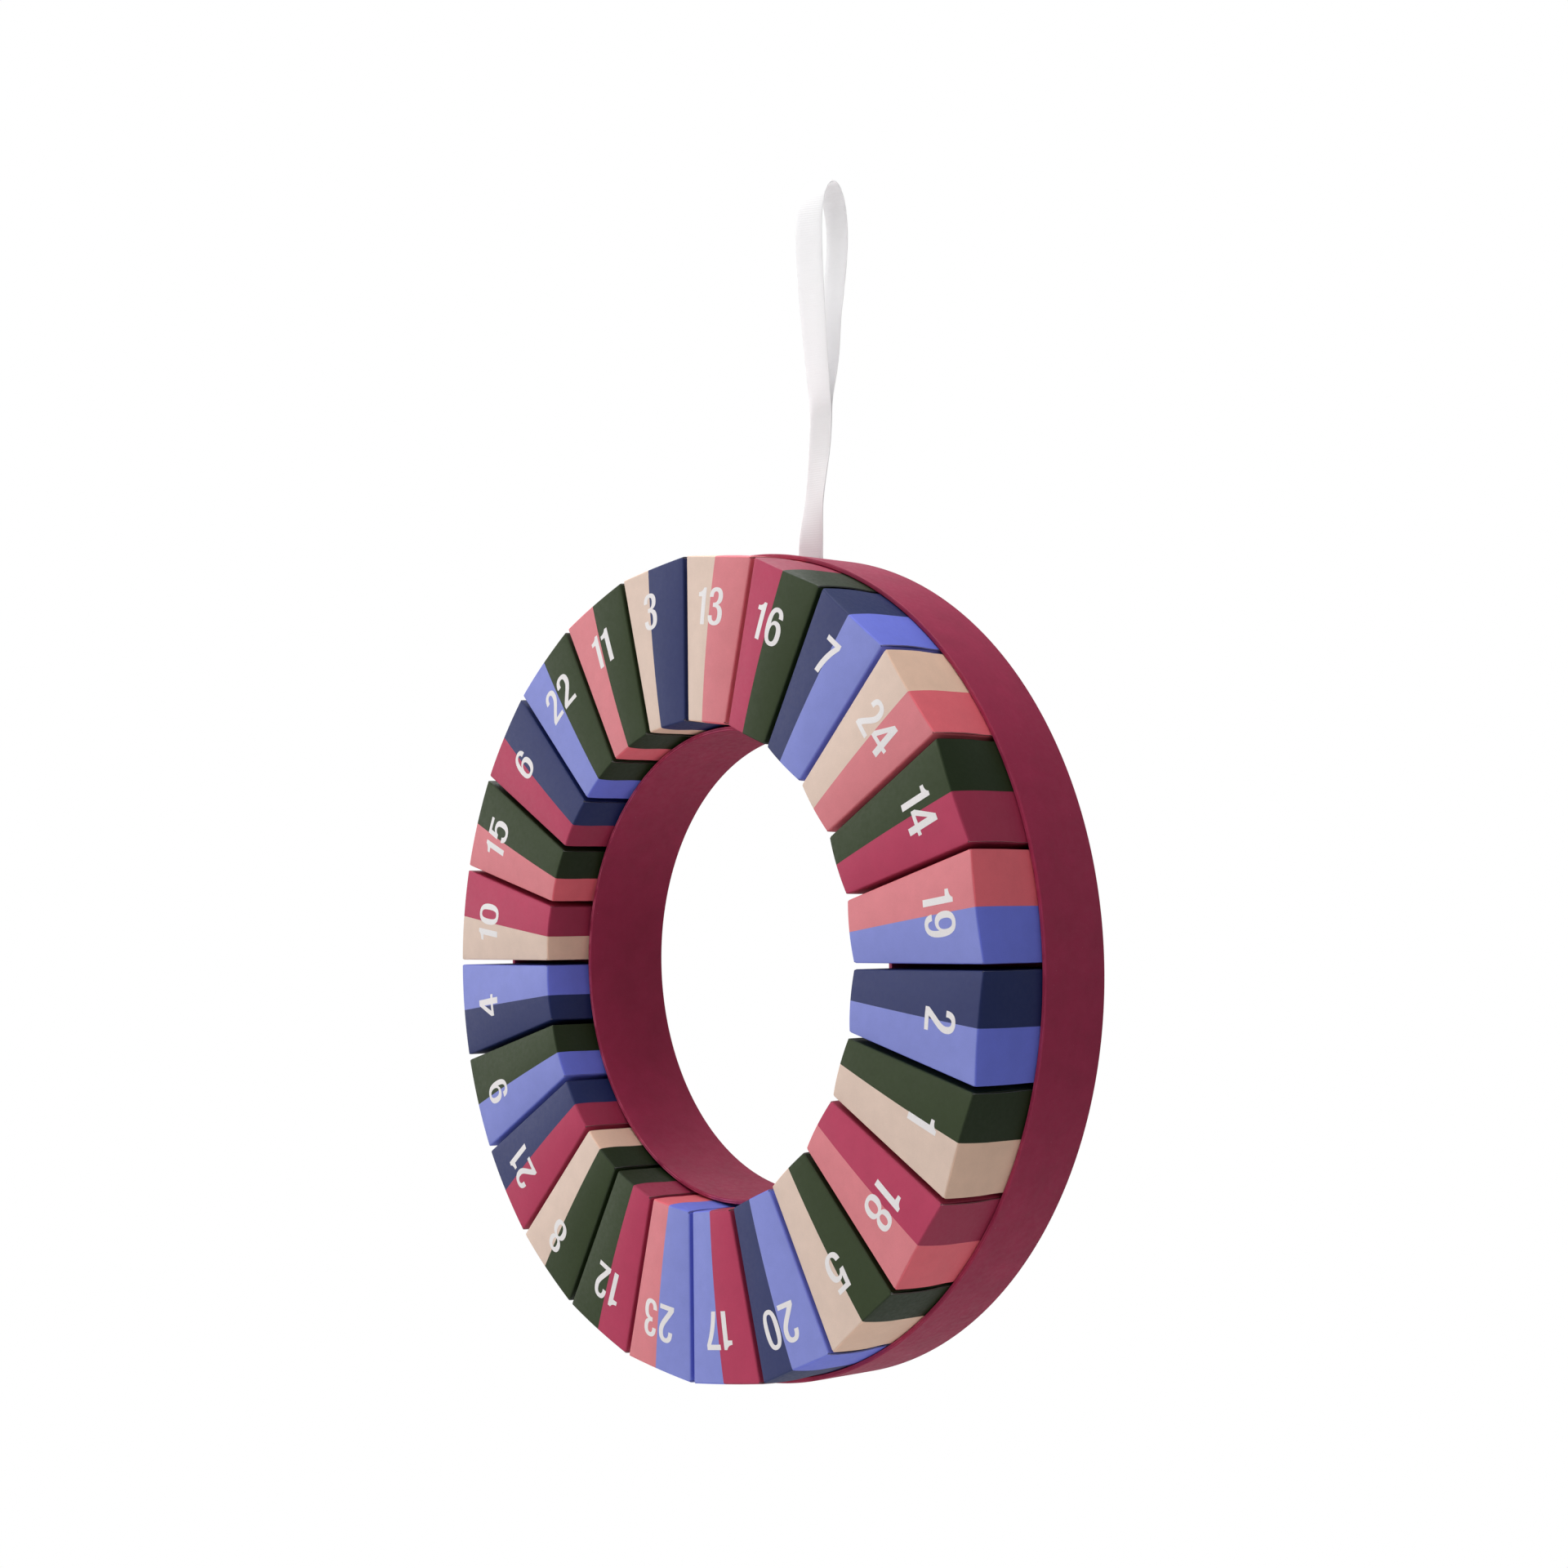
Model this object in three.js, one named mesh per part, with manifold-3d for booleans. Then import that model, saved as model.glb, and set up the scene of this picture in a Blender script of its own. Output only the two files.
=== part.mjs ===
// Wreath advent calendar. A ring-shaped tray of wrapped board holds twenty-four wedge-shaped
// folding cartons side by side, and a doubled ribbon hangs it from a hook.
// Millimetres. +Z is up, -Y is the front, and +X is to the right seen from the front.
// The origin is where the hook bears, inside the top of the ribbon's loop.
import * as THREE from "three";
import * as BufferGeometryUtils from "three/addons/utils/BufferGeometryUtils.js";
import Module from "manifold-3d";

const wasm = await Module();
wasm.setup();

// Driving dimensions of the tray
const trayRadius = 200;
const outerWallBoard = 2.2;
const outerWallDepth = 36.9;
const holeRadius = 113.2;
const innerWallBoard = 2.3;
const innerWallDepth = 46.7;
const backBoard = 2;
const rimRound = 0.7;
const glueLine = 0.3;
const ringSegments = 96;
const roundSteps = 1;

// Driving dimensions of the cartons
const boxDepth = 67.9;
const boxGap = 2.7;
const outerClearance = 0.4;
const innerClearance = 0.8;
const cardThickness = 0.6;
const creaseRound = 0.9;
const foldRound = 0.5;
const foldGap = 0.3;
const slitWidth = 0.4;
const tuckLength = 14;
const tuckTaper = 1.5;
const tuckRound = 5;
const tuckSteps = 2;
const slitMargin = 1.8;

// Driving dimensions of the ribbon. Its heights are counted from the top of the tray.
const ribbonWidth = 18;
const ribbonThickness = 0.45;
const layerGap = 0.3;
const ribbonOffset = 14.6;
const glueTabLength = 16;
const splitHeight = 76;
const ribbonLean = 8;
const loopWidth = 19.4;
const loopShift = 10.8;
const loopShoulder = 168;
const doubledHandles = [0.33, 0.33];
const frontLegHandles = [0.12, 0.45];
const rearLegHandles = [0.27, 0.27];
const ribbonRise = 194.3;
const ribbonSteps = 10;
const slotClearance = 0.4;
const boxToRibbon = 0.5;

// Numbers and print colours, clockwise from 12 o'clock seen from the front. Each carton is
// printed in two colours that meet on its middle line, the counterclockwise half first.
const beige = 0xd3bfac;
const pink = 0xcc6f76;
const raspberry = 0xa83a56;
const green = 0x3a4a30;
const navy = 0x3a3f66;
const periwinkle = 0x7480cc;
const burgundy = 0x7e2f48;
const ribbonWhite = 0xebe8ea;
const cartonList = [
  [13, beige, pink],
  [16, raspberry, green],
  [7, navy, periwinkle],
  [24, beige, pink],
  [14, green, raspberry],
  [19, pink, periwinkle],
  [2, navy, periwinkle],
  [1, green, beige],
  [18, raspberry, pink],
  [5, green, beige],
  [20, periwinkle, navy],
  [17, raspberry, periwinkle],
  [23, periwinkle, pink],
  [12, raspberry, green],
  [8, green, beige],
  [21, raspberry, navy],
  [9, periwinkle, green],
  [4, navy, periwinkle],
  [10, beige, raspberry],
  [15, pink, green],
  [6, raspberry, navy],
  [22, periwinkle, green],
  [11, pink, green],
  [3, beige, navy],
];

// Depths, from the plane of the cartons' fronts at y = 0 towards the back
const ribbonPack = 2 * ribbonThickness + layerGap;
const boardFront = boxDepth + boxToRibbon + ribbonPack;
const trayBack = boardFront + backBoard;
const outerRim = trayBack - outerWallDepth;
const innerRim = trayBack - innerWallDepth;

// Radii, and the wedge that two neighbouring cartons' side faces leave
const outerWallInside = trayRadius - outerWallBoard;
const innerWallOutside = holeRadius + innerWallBoard;
const halfPitch = Math.PI / cartonList.length;
const sideSlope = Math.tan(halfPitch);
const sideShift = boxGap / 2 / Math.cos(halfPitch);
const cornerRadius = outerWallInside - outerClearance;
const innerEnd = innerWallOutside + innerClearance;
const outerEnd = flatEndInsideCircle(cornerRadius);
const pastEdge = 1;
const mergeTolerance = 1e-4;

// Half the width of a carton at a radius, with its side faces moved in by an inset.
function halfWidth(radius, inset = 0) {
  return radius * sideSlope - sideShift - inset / Math.cos(halfPitch);
}

// The radius of a carton's flat outer end whose two corners lie on a circle.
function flatEndInsideCircle(circle) {
  const a = 1 + sideSlope ** 2;
  const b = sideSlope * sideShift;
  const c = sideShift ** 2 - circle ** 2;
  return (b + Math.sqrt(b * b - a * c)) / a;
}

// A closed three.js geometry as a solid that can be cut or joined.
function toSolid(geometry) {
  const bare = geometry.clone();
  bare.deleteAttribute("normal");
  bare.deleteAttribute("uv");
  const merged = BufferGeometryUtils.mergeVertices(bare, mergeTolerance);
  const vertProperties = new Float32Array(merged.attributes.position.array);
  const triVerts = new Uint32Array(merged.index.array);
  return new wasm.Manifold(new wasm.Mesh({ numProp: 3, vertProperties, triVerts }));
}

// A solid back as a three.js geometry.
function toGeometry(solid) {
  const mesh = solid.getMesh();
  const geometry = new THREE.BufferGeometry();
  geometry.setAttribute("position", new THREE.BufferAttribute(mesh.vertProperties, 3));
  geometry.setIndex(new THREE.BufferAttribute(mesh.triVerts, 1));
  geometry.computeVertexNormals();
  return geometry;
}

// Extrude a shape drawn in (depth, height) sideways along X, from left to right.
function extrudeAlongX(shape, left, right) {
  const settings = { depth: right - left, bevelEnabled: false, curveSegments: roundSteps };
  const geometry = new THREE.ExtrudeGeometry(shape, settings);
  const toYZ = new THREE.Matrix4().makeBasis(
    new THREE.Vector3(0, 1, 0),
    new THREE.Vector3(0, 0, 1),
    new THREE.Vector3(1, 0, 0),
  );
  return geometry.applyMatrix4(toYZ).translate(left, 0, 0);
}

// Extrude a shape drawn in (across, height) along the depth, from front to back.
function extrudeAlongY(shape, front, back) {
  const settings = { depth: back - front, bevelEnabled: false, curveSegments: tuckSteps };
  const geometry = new THREE.ExtrudeGeometry(shape, settings);
  return geometry.rotateX(Math.PI / 2).translate(0, back, 0);
}

// A plain block between two corners, used as a cutter.
function block(low, high) {
  const size = new THREE.Vector3().subVectors(high, low);
  const middle = new THREE.Vector3().addVectors(low, high).multiplyScalar(0.5);
  return toSolid(new THREE.BoxGeometry(size.x, size.y, size.z).translate(...middle));
}

function addMesh(parent, name, geometry, color, roughness) {
  const material = new THREE.MeshStandardMaterial({ color, roughness, metalness: 0 });
  const mesh = new THREE.Mesh(geometry, material);
  mesh.name = name;
  parent.add(mesh);
}

// One hoop of the tray: a flat strip of board on edge, with its front rim rounded by the wrap.
function hoop(insideRadius, outsideRadius, rim, back) {
  const section = new THREE.Path();
  section.moveTo(outsideRadius, back);
  section.lineTo(insideRadius, back);
  section.absarc(insideRadius + rimRound, rim + rimRound, rimRound, Math.PI, Math.PI * 1.5);
  section.absarc(outsideRadius - rimRound, rim + rimRound, rimRound, Math.PI * 1.5, Math.PI * 2);
  section.lineTo(outsideRadius, back);
  return new THREE.LatheGeometry(section.getPoints(roundSteps), ringSegments);
}

// The back board is a flat ring set between the two hoops.
function backPanel() {
  const inside = innerWallOutside + glueLine;
  const outside = outerWallInside - glueLine;
  const section = new THREE.Path();
  section.moveTo(outside, trayBack);
  section.lineTo(inside, trayBack);
  section.lineTo(inside, boardFront);
  section.lineTo(outside, boardFront);
  section.lineTo(outside, trayBack);
  return new THREE.LatheGeometry(section.getPoints(), ringSegments);
}

// The outer hoop has a slot near its back edge, where the doubled ribbon comes out.
function outerWall() {
  const ring = toSolid(hoop(outerWallInside, trayRadius, outerRim, trayBack));
  const half = ribbonWidth / 2 + slotClearance;
  const low = new THREE.Vector3(ribbonOffset - half, boardFront - ribbonPack - slotClearance, 0);
  const high = new THREE.Vector3(ribbonOffset + half, boardFront + slotClearance, 0);
  low.z = outerWallInside * Math.cos(Math.asin(high.x / trayRadius)) - outerWallBoard;
  high.z = trayRadius + pastEdge;
  return toGeometry(ring.subtract(block(low, high)));
}

// The outline of a carton across its length, as a rounded rectangle.
function sleeveOutline(half, front, back, round) {
  const outline = new THREE.Path();
  outline.absarc(half - round, back - round, round, 0, Math.PI / 2);
  outline.absarc(round - half, back - round, round, Math.PI / 2, Math.PI);
  outline.absarc(round - half, front + round, round, Math.PI, Math.PI * 1.5);
  outline.absarc(half - round, front + round, round, Math.PI * 1.5, Math.PI * 2);
  return outline.getPoints(roundSteps);
}

// A tapering body between two radii, moved in from the carton's outer faces by an inset.
function wedge(low, high, inset, round) {
  const lowRing = sleeveOutline(halfWidth(low, inset), inset, boxDepth - inset, round);
  const highRing = sleeveOutline(halfWidth(high, inset), inset, boxDepth - inset, round);
  const count = lowRing.length;
  const positions = [];
  lowRing.forEach((point) => positions.push(point.x, point.y, low));
  highRing.forEach((point) => positions.push(point.x, point.y, high));
  const index = [];
  for (let i = 0; i < count; i += 1) {
    const next = (i + 1) % count;
    index.push(i, next, count + next, i, count + next, count + i);
  }
  for (let i = 1; i < count - 1; i += 1) {
    index.push(0, i + 1, i, count, count + i, count + i + 1);
  }
  const geometry = new THREE.BufferGeometry();
  geometry.setAttribute("position", new THREE.Float32BufferAttribute(positions, 3));
  geometry.setIndex(index);
  return toSolid(geometry);
}

// The side view of a carton, which rounds the folds between its front, its ends and its back.
function foldProfile() {
  const side = new THREE.Shape();
  side.absarc(foldRound, innerEnd + foldRound, foldRound, Math.PI, Math.PI * 1.5);
  side.absarc(boxDepth - foldRound, innerEnd + foldRound, foldRound, Math.PI * 1.5, Math.PI * 2);
  side.absarc(boxDepth - foldRound, outerEnd - foldRound, foldRound, 0, Math.PI / 2);
  side.absarc(foldRound, outerEnd - foldRound, foldRound, Math.PI / 2, Math.PI);
  const reach = halfWidth(outerEnd) + pastEdge;
  return toSolid(extrudeAlongX(side, -reach, reach));
}

// The card body: front, back and two sides in one sleeve, with the inner end folded shut and
// the outer end open. Slits part the inner end from the sides, as in a tuck-in end.
function cartonBody() {
  const round = creaseRound;
  const shell = wedge(innerEnd, outerEnd, 0, round).intersect(foldProfile());
  const room = wedge(innerEnd + cardThickness, outerEnd + pastEdge, cardThickness, round / 2);
  const mouthHalf = halfWidth(outerEnd, cardThickness);
  const flapSeat = block(
    new THREE.Vector3(-mouthHalf, -pastEdge, outerEnd - cardThickness - foldGap),
    new THREE.Vector3(mouthHalf, boxDepth - cardThickness - round / 2, outerEnd + pastEdge),
  );
  let body = shell.subtract(room).subtract(flapSeat);
  const slitOuter = halfWidth(innerEnd, cardThickness);
  for (const side of [-1, 1]) {
    const across = [side * slitOuter, side * (slitOuter - slitWidth)];
    const slit = block(
      new THREE.Vector3(Math.min(...across), slitMargin, innerEnd - pastEdge),
      new THREE.Vector3(Math.max(...across), boxDepth - slitMargin, innerEnd + cardThickness + pastEdge),
    );
    body = body.subtract(slit);
  }
  return toGeometry(body);
}

// The closure at the outer end: a panel folded down from the front, and a tab that tucks in
// behind the back panel's inner face.
function closureFlap() {
  const tuckBack = boxDepth - cardThickness - foldGap;
  const tuckFront = tuckBack - cardThickness;
  const panelInside = outerEnd - cardThickness;
  const tabEnd = outerEnd - tuckLength;
  const side = new THREE.Shape();
  side.moveTo(0, panelInside);
  side.lineTo(tuckFront, panelInside);
  side.lineTo(tuckFront, tabEnd);
  side.lineTo(tuckBack, tabEnd);
  side.absarc(tuckBack - foldRound, outerEnd - foldRound, foldRound, 0, Math.PI / 2);
  side.absarc(foldRound, outerEnd - foldRound, foldRound, Math.PI / 2, Math.PI);
  const wide = halfWidth(outerEnd, cardThickness) - slitWidth;
  const narrow = halfWidth(tabEnd, cardThickness) - slitWidth - tuckTaper;
  const plan = new THREE.Shape();
  plan.moveTo(wide, outerEnd + pastEdge);
  plan.lineTo(-wide, outerEnd + pastEdge);
  plan.lineTo(-wide, panelInside);
  plan.lineTo(-narrow, tabEnd + tuckRound);
  plan.absarc(tuckRound - narrow, tabEnd + tuckRound, tuckRound, Math.PI, Math.PI * 1.5);
  plan.absarc(narrow - tuckRound, tabEnd + tuckRound, tuckRound, Math.PI * 1.5, Math.PI * 2);
  plan.lineTo(wide, panelInside);
  const folded = toSolid(extrudeAlongX(side, -wide - pastEdge, wide + pastEdge));
  const cutOut = toSolid(extrudeAlongY(plan, -pastEdge, boxDepth + pastEdge));
  return toGeometry(folded.intersect(cutOut));
}

// The ribbon's middle line in (depth, height): up from the glue tab in two layers that lean
// back together, then round the loop, and down again.
function ribbonLine() {
  const root = boardFront - ribbonPack / 2;
  const layer = (ribbonThickness + layerGap) / 2;
  const top = trayRadius;
  const split = root + ribbonLean;
  const centre = root + loopShift;
  const half = loopWidth / 2;
  const shoulder = top + loopShoulder;
  const opening = loopShoulder - splitHeight;
  const line = new THREE.Path();
  line.moveTo(root - layer, top - glueTabLength);
  line.lineTo(root - layer, top);
  line.bezierCurveTo(
    root - layer,
    top + splitHeight * doubledHandles[0],
    split - layer,
    top + splitHeight * (1 - doubledHandles[1]),
    split - layer,
    top + splitHeight,
  );
  line.bezierCurveTo(
    split - layer,
    top + splitHeight + opening * frontLegHandles[0],
    centre - half,
    shoulder - opening * frontLegHandles[1],
    centre - half,
    shoulder,
  );
  line.absellipse(centre, shoulder, half, ribbonRise - loopShoulder, Math.PI, 0, true);
  line.bezierCurveTo(
    centre + half,
    shoulder - opening * rearLegHandles[1],
    split + layer,
    top + splitHeight + opening * rearLegHandles[0],
    split + layer,
    top + splitHeight,
  );
  line.bezierCurveTo(
    split + layer,
    top + splitHeight * (1 - doubledHandles[1]),
    root + layer,
    top + splitHeight * doubledHandles[0],
    root + layer,
    top,
  );
  line.lineTo(root + layer, top - glueTabLength);
  return line.getPoints(ribbonSteps);
}

// One strip of ribbon, as the middle line given a thickness and a width.
function hangingRibbon() {
  const line = ribbonLine();
  const left = [];
  const right = [];
  line.forEach((point, i) => {
    const before = line[Math.max(i - 1, 0)];
    const after = line[Math.min(i + 1, line.length - 1)];
    const along = new THREE.Vector2().subVectors(after, before).normalize();
    const across = new THREE.Vector2(-along.y, along.x).multiplyScalar(ribbonThickness / 2);
    left.push(point.clone().add(across));
    right.push(point.clone().sub(across));
  });
  const outline = new THREE.Shape([...left, ...right.reverse()]);
  const half = ribbonWidth / 2;
  return extrudeAlongX(outline, ribbonOffset - half, ribbonOffset + half);
}

const calendar = new THREE.Group();
const hookDepth = boardFront - ribbonPack / 2 + loopShift;
const hookHeight = trayRadius + ribbonRise - ribbonThickness / 2;
calendar.position.set(-ribbonOffset, -hookDepth, -hookHeight);

addMesh(calendar, "back_board", backPanel(), burgundy, 0.85);
addMesh(calendar, "outer_wall", outerWall(), burgundy, 0.75);
const innerHoop = hoop(holeRadius, innerWallOutside, innerRim, trayBack);
addMesh(calendar, "inner_wall", innerHoop, burgundy, 0.75);
addMesh(calendar, "hanging_ribbon", hangingRibbon(), ribbonWhite, 0.7);

// A mesh has one colour, so the body shows the first print colour and the flap the second.
const bodyShape = cartonBody();
const flapShape = closureFlap();
cartonList.forEach(([number, bodyColor, flapColor], place) => {
  const carton = new THREE.Group();
  carton.rotation.y = (2 * place + 1) * halfPitch;
  const label = String(number).padStart(2, "0");
  addMesh(carton, `carton_${label}`, bodyShape, bodyColor, 0.6);
  addMesh(carton, `flap_${label}`, flapShape, flapColor, 0.6);
  calendar.add(carton);
});

export default calendar;
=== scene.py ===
# %% [markdown]
# # A wreath advent calendar
# Twenty-four wedge-shaped folding cartons stand side by side in a ring-shaped tray, and a white
# ribbon hangs the tray from a hook. The tray is grey board wrapped in burgundy paper. Each carton is
# printed in two colours that meet on its middle line, with a white number on its front.
#
# The construction is already made in CAD and comes in as a fixed frame. This lesson gives it its
# looks: crowned card panels, folds, cut edges, printed numbers, wrap paper and a ribbed ribbon.
# Blender works in metres, so a millimetre is a named value.

# %% Load the construction
import math

import bmesh
import bpy
import numpy as np
from mathutils import Matrix, Vector
from mathutils.geometry import tessellate_polygon


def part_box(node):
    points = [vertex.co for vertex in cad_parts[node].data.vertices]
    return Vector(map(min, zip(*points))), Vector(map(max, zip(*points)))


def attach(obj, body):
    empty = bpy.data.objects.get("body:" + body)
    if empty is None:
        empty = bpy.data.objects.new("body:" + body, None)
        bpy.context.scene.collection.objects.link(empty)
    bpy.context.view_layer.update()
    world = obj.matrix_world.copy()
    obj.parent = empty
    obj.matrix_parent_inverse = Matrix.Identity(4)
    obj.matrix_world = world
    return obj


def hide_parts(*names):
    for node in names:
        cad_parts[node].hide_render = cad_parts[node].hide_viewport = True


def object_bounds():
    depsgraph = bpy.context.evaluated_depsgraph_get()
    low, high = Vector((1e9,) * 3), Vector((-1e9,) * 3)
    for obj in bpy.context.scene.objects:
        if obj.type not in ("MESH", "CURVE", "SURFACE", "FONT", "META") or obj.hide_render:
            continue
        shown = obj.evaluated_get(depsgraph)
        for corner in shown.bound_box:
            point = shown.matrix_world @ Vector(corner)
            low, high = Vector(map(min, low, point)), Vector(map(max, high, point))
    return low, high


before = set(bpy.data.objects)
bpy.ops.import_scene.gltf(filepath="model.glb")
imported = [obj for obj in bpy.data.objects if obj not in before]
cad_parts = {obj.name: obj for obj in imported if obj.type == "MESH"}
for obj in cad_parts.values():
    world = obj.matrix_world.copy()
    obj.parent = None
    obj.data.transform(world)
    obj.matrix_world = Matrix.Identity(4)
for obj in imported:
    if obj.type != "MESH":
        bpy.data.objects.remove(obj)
cad_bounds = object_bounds()
MM = 0.001

# %% [markdown]
# ## The camera
# The photograph was taken from the right, about as high as the middle of the ring, with a lens about
# one and a half times as long as the frame is wide. A Track To constraint could aim the camera, but it
# would leave no say over its roll. So the camera is turned by three angles: round the wreath, up, and
# a little about its own line of sight. A small shift moves the frame and keeps the perspective.

# %% Camera
CAMERA_PLACE = Vector((0.8826, -0.7922, -0.3746))
CAMERA_YAW = math.radians(50.266)
CAMERA_PITCH = math.radians(-4.2214)
CAMERA_ROLL = math.radians(-0.6116)
SENSOR_WIDTH = 36
LENS_LENGTH = 54.676
FRAME_SHIFT = (0.02835, -0.0234)


def camera_axes(yaw, pitch, roll):
    """The camera's right, up and back directions."""
    back = Vector((math.sin(yaw) * math.cos(pitch), -math.cos(yaw) * math.cos(pitch), math.sin(pitch)))
    level = Vector((0, 0, 1)).cross(back).normalized()
    upright = back.cross(level)
    right = level * math.cos(roll) + upright * math.sin(roll)
    return right, back.cross(right), back


camera_data = bpy.data.cameras.new("camera")
camera_data.sensor_width = SENSOR_WIDTH
camera_data.lens = LENS_LENGTH
camera_data.shift_x, camera_data.shift_y = FRAME_SHIFT
camera = bpy.data.objects.new("camera", camera_data)
axes = Matrix(camera_axes(CAMERA_YAW, CAMERA_PITCH, CAMERA_ROLL)).transposed()
camera.matrix_world = Matrix.Translation(CAMERA_PLACE) @ axes.to_4x4()
bpy.context.scene.collection.objects.link(camera)
bpy.context.scene.camera = camera
print("camera looks from", [round(c, 3) for c in CAMERA_PLACE])

# %% [markdown]
# ## Reading the construction
# On the real wreath everything is set round one axis. So a place is given here by a turn clockwise
# from 12 o'clock, a radius, and a depth behind the plane of the cartons' fronts. The sizes could be
# typed in again, but then they could drift from the construction. The frame's boxes and points give
# the axis, the tray's rims and the cartons' ends, so nothing has to be fitted afterwards.

# %% Measure the ring
def radii_of(node):
    """The least and the greatest distance of a node's points from the ring's axis."""
    places = np.array([v.co[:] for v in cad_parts[node].data.vertices])
    away = np.hypot(places[:, 0] - RING_X, places[:, 2] - RING_Z)
    return away.min(), away.max()


outer_low, outer_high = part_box("outer_wall")
inner_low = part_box("inner_wall")[0]
RING_X = (outer_low.x + outer_high.x) / 2
RING_Z = (outer_low.z + outer_high.z) / 2
FRONT_Y = min(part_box(name)[0].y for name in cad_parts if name.startswith("carton_"))
TRAY_BACK = outer_high.y - FRONT_Y
OUTER_RIM = outer_low.y - FRONT_Y
INNER_RIM = inner_low.y - FRONT_Y
BOARD_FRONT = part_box("back_board")[0].y - FRONT_Y
WALL_INSIDE, TRAY_RADIUS = radii_of("outer_wall")
HOLE_RADIUS, WALL_OUTSIDE = radii_of("inner_wall")
BOARD_INSIDE, BOARD_OUTSIDE = radii_of("back_board")
CARTON_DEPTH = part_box("carton_01")[1].y - FRONT_Y
print("tray radius", round(TRAY_RADIUS, 4), "and depth", round(TRAY_BACK, 4))
print("hole radius", round(HOLE_RADIUS, 4))

# %% [markdown]
# ### A carton's own directions
# The cartons are wedges. Their two sides stand half a gap off the lines that part the ring into
# twenty-four, so a carton's half width grows steadily with the radius. One carton could be made and
# turned round as twenty-four copies, but no two are printed alike. So each is made in its own
# directions, which are across (clockwise), depth (to the back) and radius (outwards), and one
# function turns such points into places.

# %% Carton directions
CARTON_COUNT = 24
HALF_PITCH = math.pi / CARTON_COUNT
CARTON_GAP = 2.7 * MM
CLEAR_OF_INNER_WALL = 0.8 * MM
CLEAR_OF_OUTER_WALL = 0.4 * MM
SIDE_SLOPE = math.tan(HALF_PITCH)
SIDE_SHIFT = CARTON_GAP / 2 / math.cos(HALF_PITCH)


def on_ring(turn, across, depth, radius):
    """Points in the frame, from a turn about the axis and a place beside, behind and outwards."""
    x = RING_X + across * math.cos(turn) + radius * math.sin(turn)
    z = RING_Z - across * math.sin(turn) + radius * math.cos(turn)
    return np.stack(np.broadcast_arrays(x, FRONT_Y + depth, z), axis=-1)


def half_width(radius):
    """Half the width of a carton at a radius."""
    return radius * SIDE_SLOPE - SIDE_SHIFT


def end_inside_circle(circle):
    """The radius of a flat outer end whose two corners lie on a circle."""
    a = 1 + SIDE_SLOPE**2
    b = SIDE_SLOPE * SIDE_SHIFT
    return (b + math.sqrt(b * b - a * (SIDE_SHIFT**2 - circle**2))) / a


INNER_END = WALL_OUTSIDE + CLEAR_OF_INNER_WALL
OUTER_END = end_inside_circle(WALL_INSIDE - CLEAR_OF_OUTER_WALL)
MIDDLE = (INNER_END + OUTER_END) / 2
HALF_LENGTH = (OUTER_END - INNER_END) / 2
print("cartons reach from radius", round(INNER_END, 4), "to", round(OUTER_END, 4))

# %% [markdown]
# ## Making meshes
# Card, paper and ribbon are all sheets. A sheet could start as a plane and be bent with modifiers, but
# its folds would then fall where the modifiers put them. Here a sheet is a grid of points, worked out
# from its real folds. One class joins grids into a mesh and merges the points that they share. It also
# stores two soft masks for the materials: where the sheet is creased, which places a painted highlight,
# and where a panel is turned away from the front, which places painted shade.

# %% Sheet meshes
MERGE = 1e-7


def smoothstep(value):
    """A soft step: 0 up to zero, 1 from one onwards, and a smooth rise between them."""
    value = np.clip(value, 0, 1)
    return value * value * (3 - 2 * value)


def blend_between(first, second, share):
    return first + (second - first) * share


class SheetMesh:
    """Grids of points that grow into one mesh. Every grid is rows by columns by three."""

    def __init__(self):
        self.places, self.faces, self.slots = [], [], []
        # crease places a painted highlight, and turned places painted shade.
        self.masks = {"crease": [], "turned": []}
        self.count = 0

    def add_grid(self, grid, slot=0, crease=0, turned=0, flip=False, closed=False):
        """slot is one number, or one for each column; the masks are numbers or rows by columns."""
        rows, columns = grid.shape[:2]
        self.places.append(grid.reshape(-1, 3))
        for name, mask in (("crease", crease), ("turned", turned)):
            self.masks[name].append(np.broadcast_to(mask, (rows, columns)).ravel())
        slots = np.broadcast_to(slot, columns)
        for row in range(rows - 1):
            for column in range(columns if closed else columns - 1):
                following = (column + 1) % columns
                here = self.count + row * columns
                face = [here + column, here + following, here + columns + following, here + columns + column]
                self.faces.append(face[::-1] if flip else face)
                self.slots.append(int(slots[column]))
        self.count += rows * columns

    def build(self, name, materials):
        """An object whose equal points are merged, and whose faces with no width are left out."""
        places = np.concatenate(self.places)
        rounded = np.round(places / MERGE).astype(np.int64)
        _, first, same = np.unique(rounded, axis=0, return_index=True, return_inverse=True)
        faces, slots = [], []
        for face, slot in zip(self.faces, self.slots):
            corners = list(dict.fromkeys(int(same[i]) for i in face))
            if len(corners) > 2:
                faces.append(corners)
                slots.append(slot)
        mesh = bpy.data.meshes.new(name)
        mesh.from_pydata(places[first].tolist(), [], faces)
        mesh.polygons.foreach_set("material_index", slots)
        for mask_name, parts in self.masks.items():
            mask = mesh.attributes.new(mask_name, "FLOAT", "POINT")
            mask.data.foreach_set("value", np.concatenate(parts)[first].astype(np.float32))
        for material in materials:
            mesh.materials.append(material)
        mesh.shade_smooth()
        mesh.validate()
        piece = bpy.data.objects.new(name, mesh)
        bpy.context.scene.collection.objects.link(piece)
        return piece


print("points of a sheet are merged within", MERGE, "m")

# %% [markdown]
# ## Materials
# A material here is a small tree of nodes. It could be put together by hand in the Shader Editor, but
# as code every value can be read and changed. One helper adds a node and sets or links its inputs, so
# a tree reads from top to bottom. Colours are written as on a screen and turned into linear light.

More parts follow.
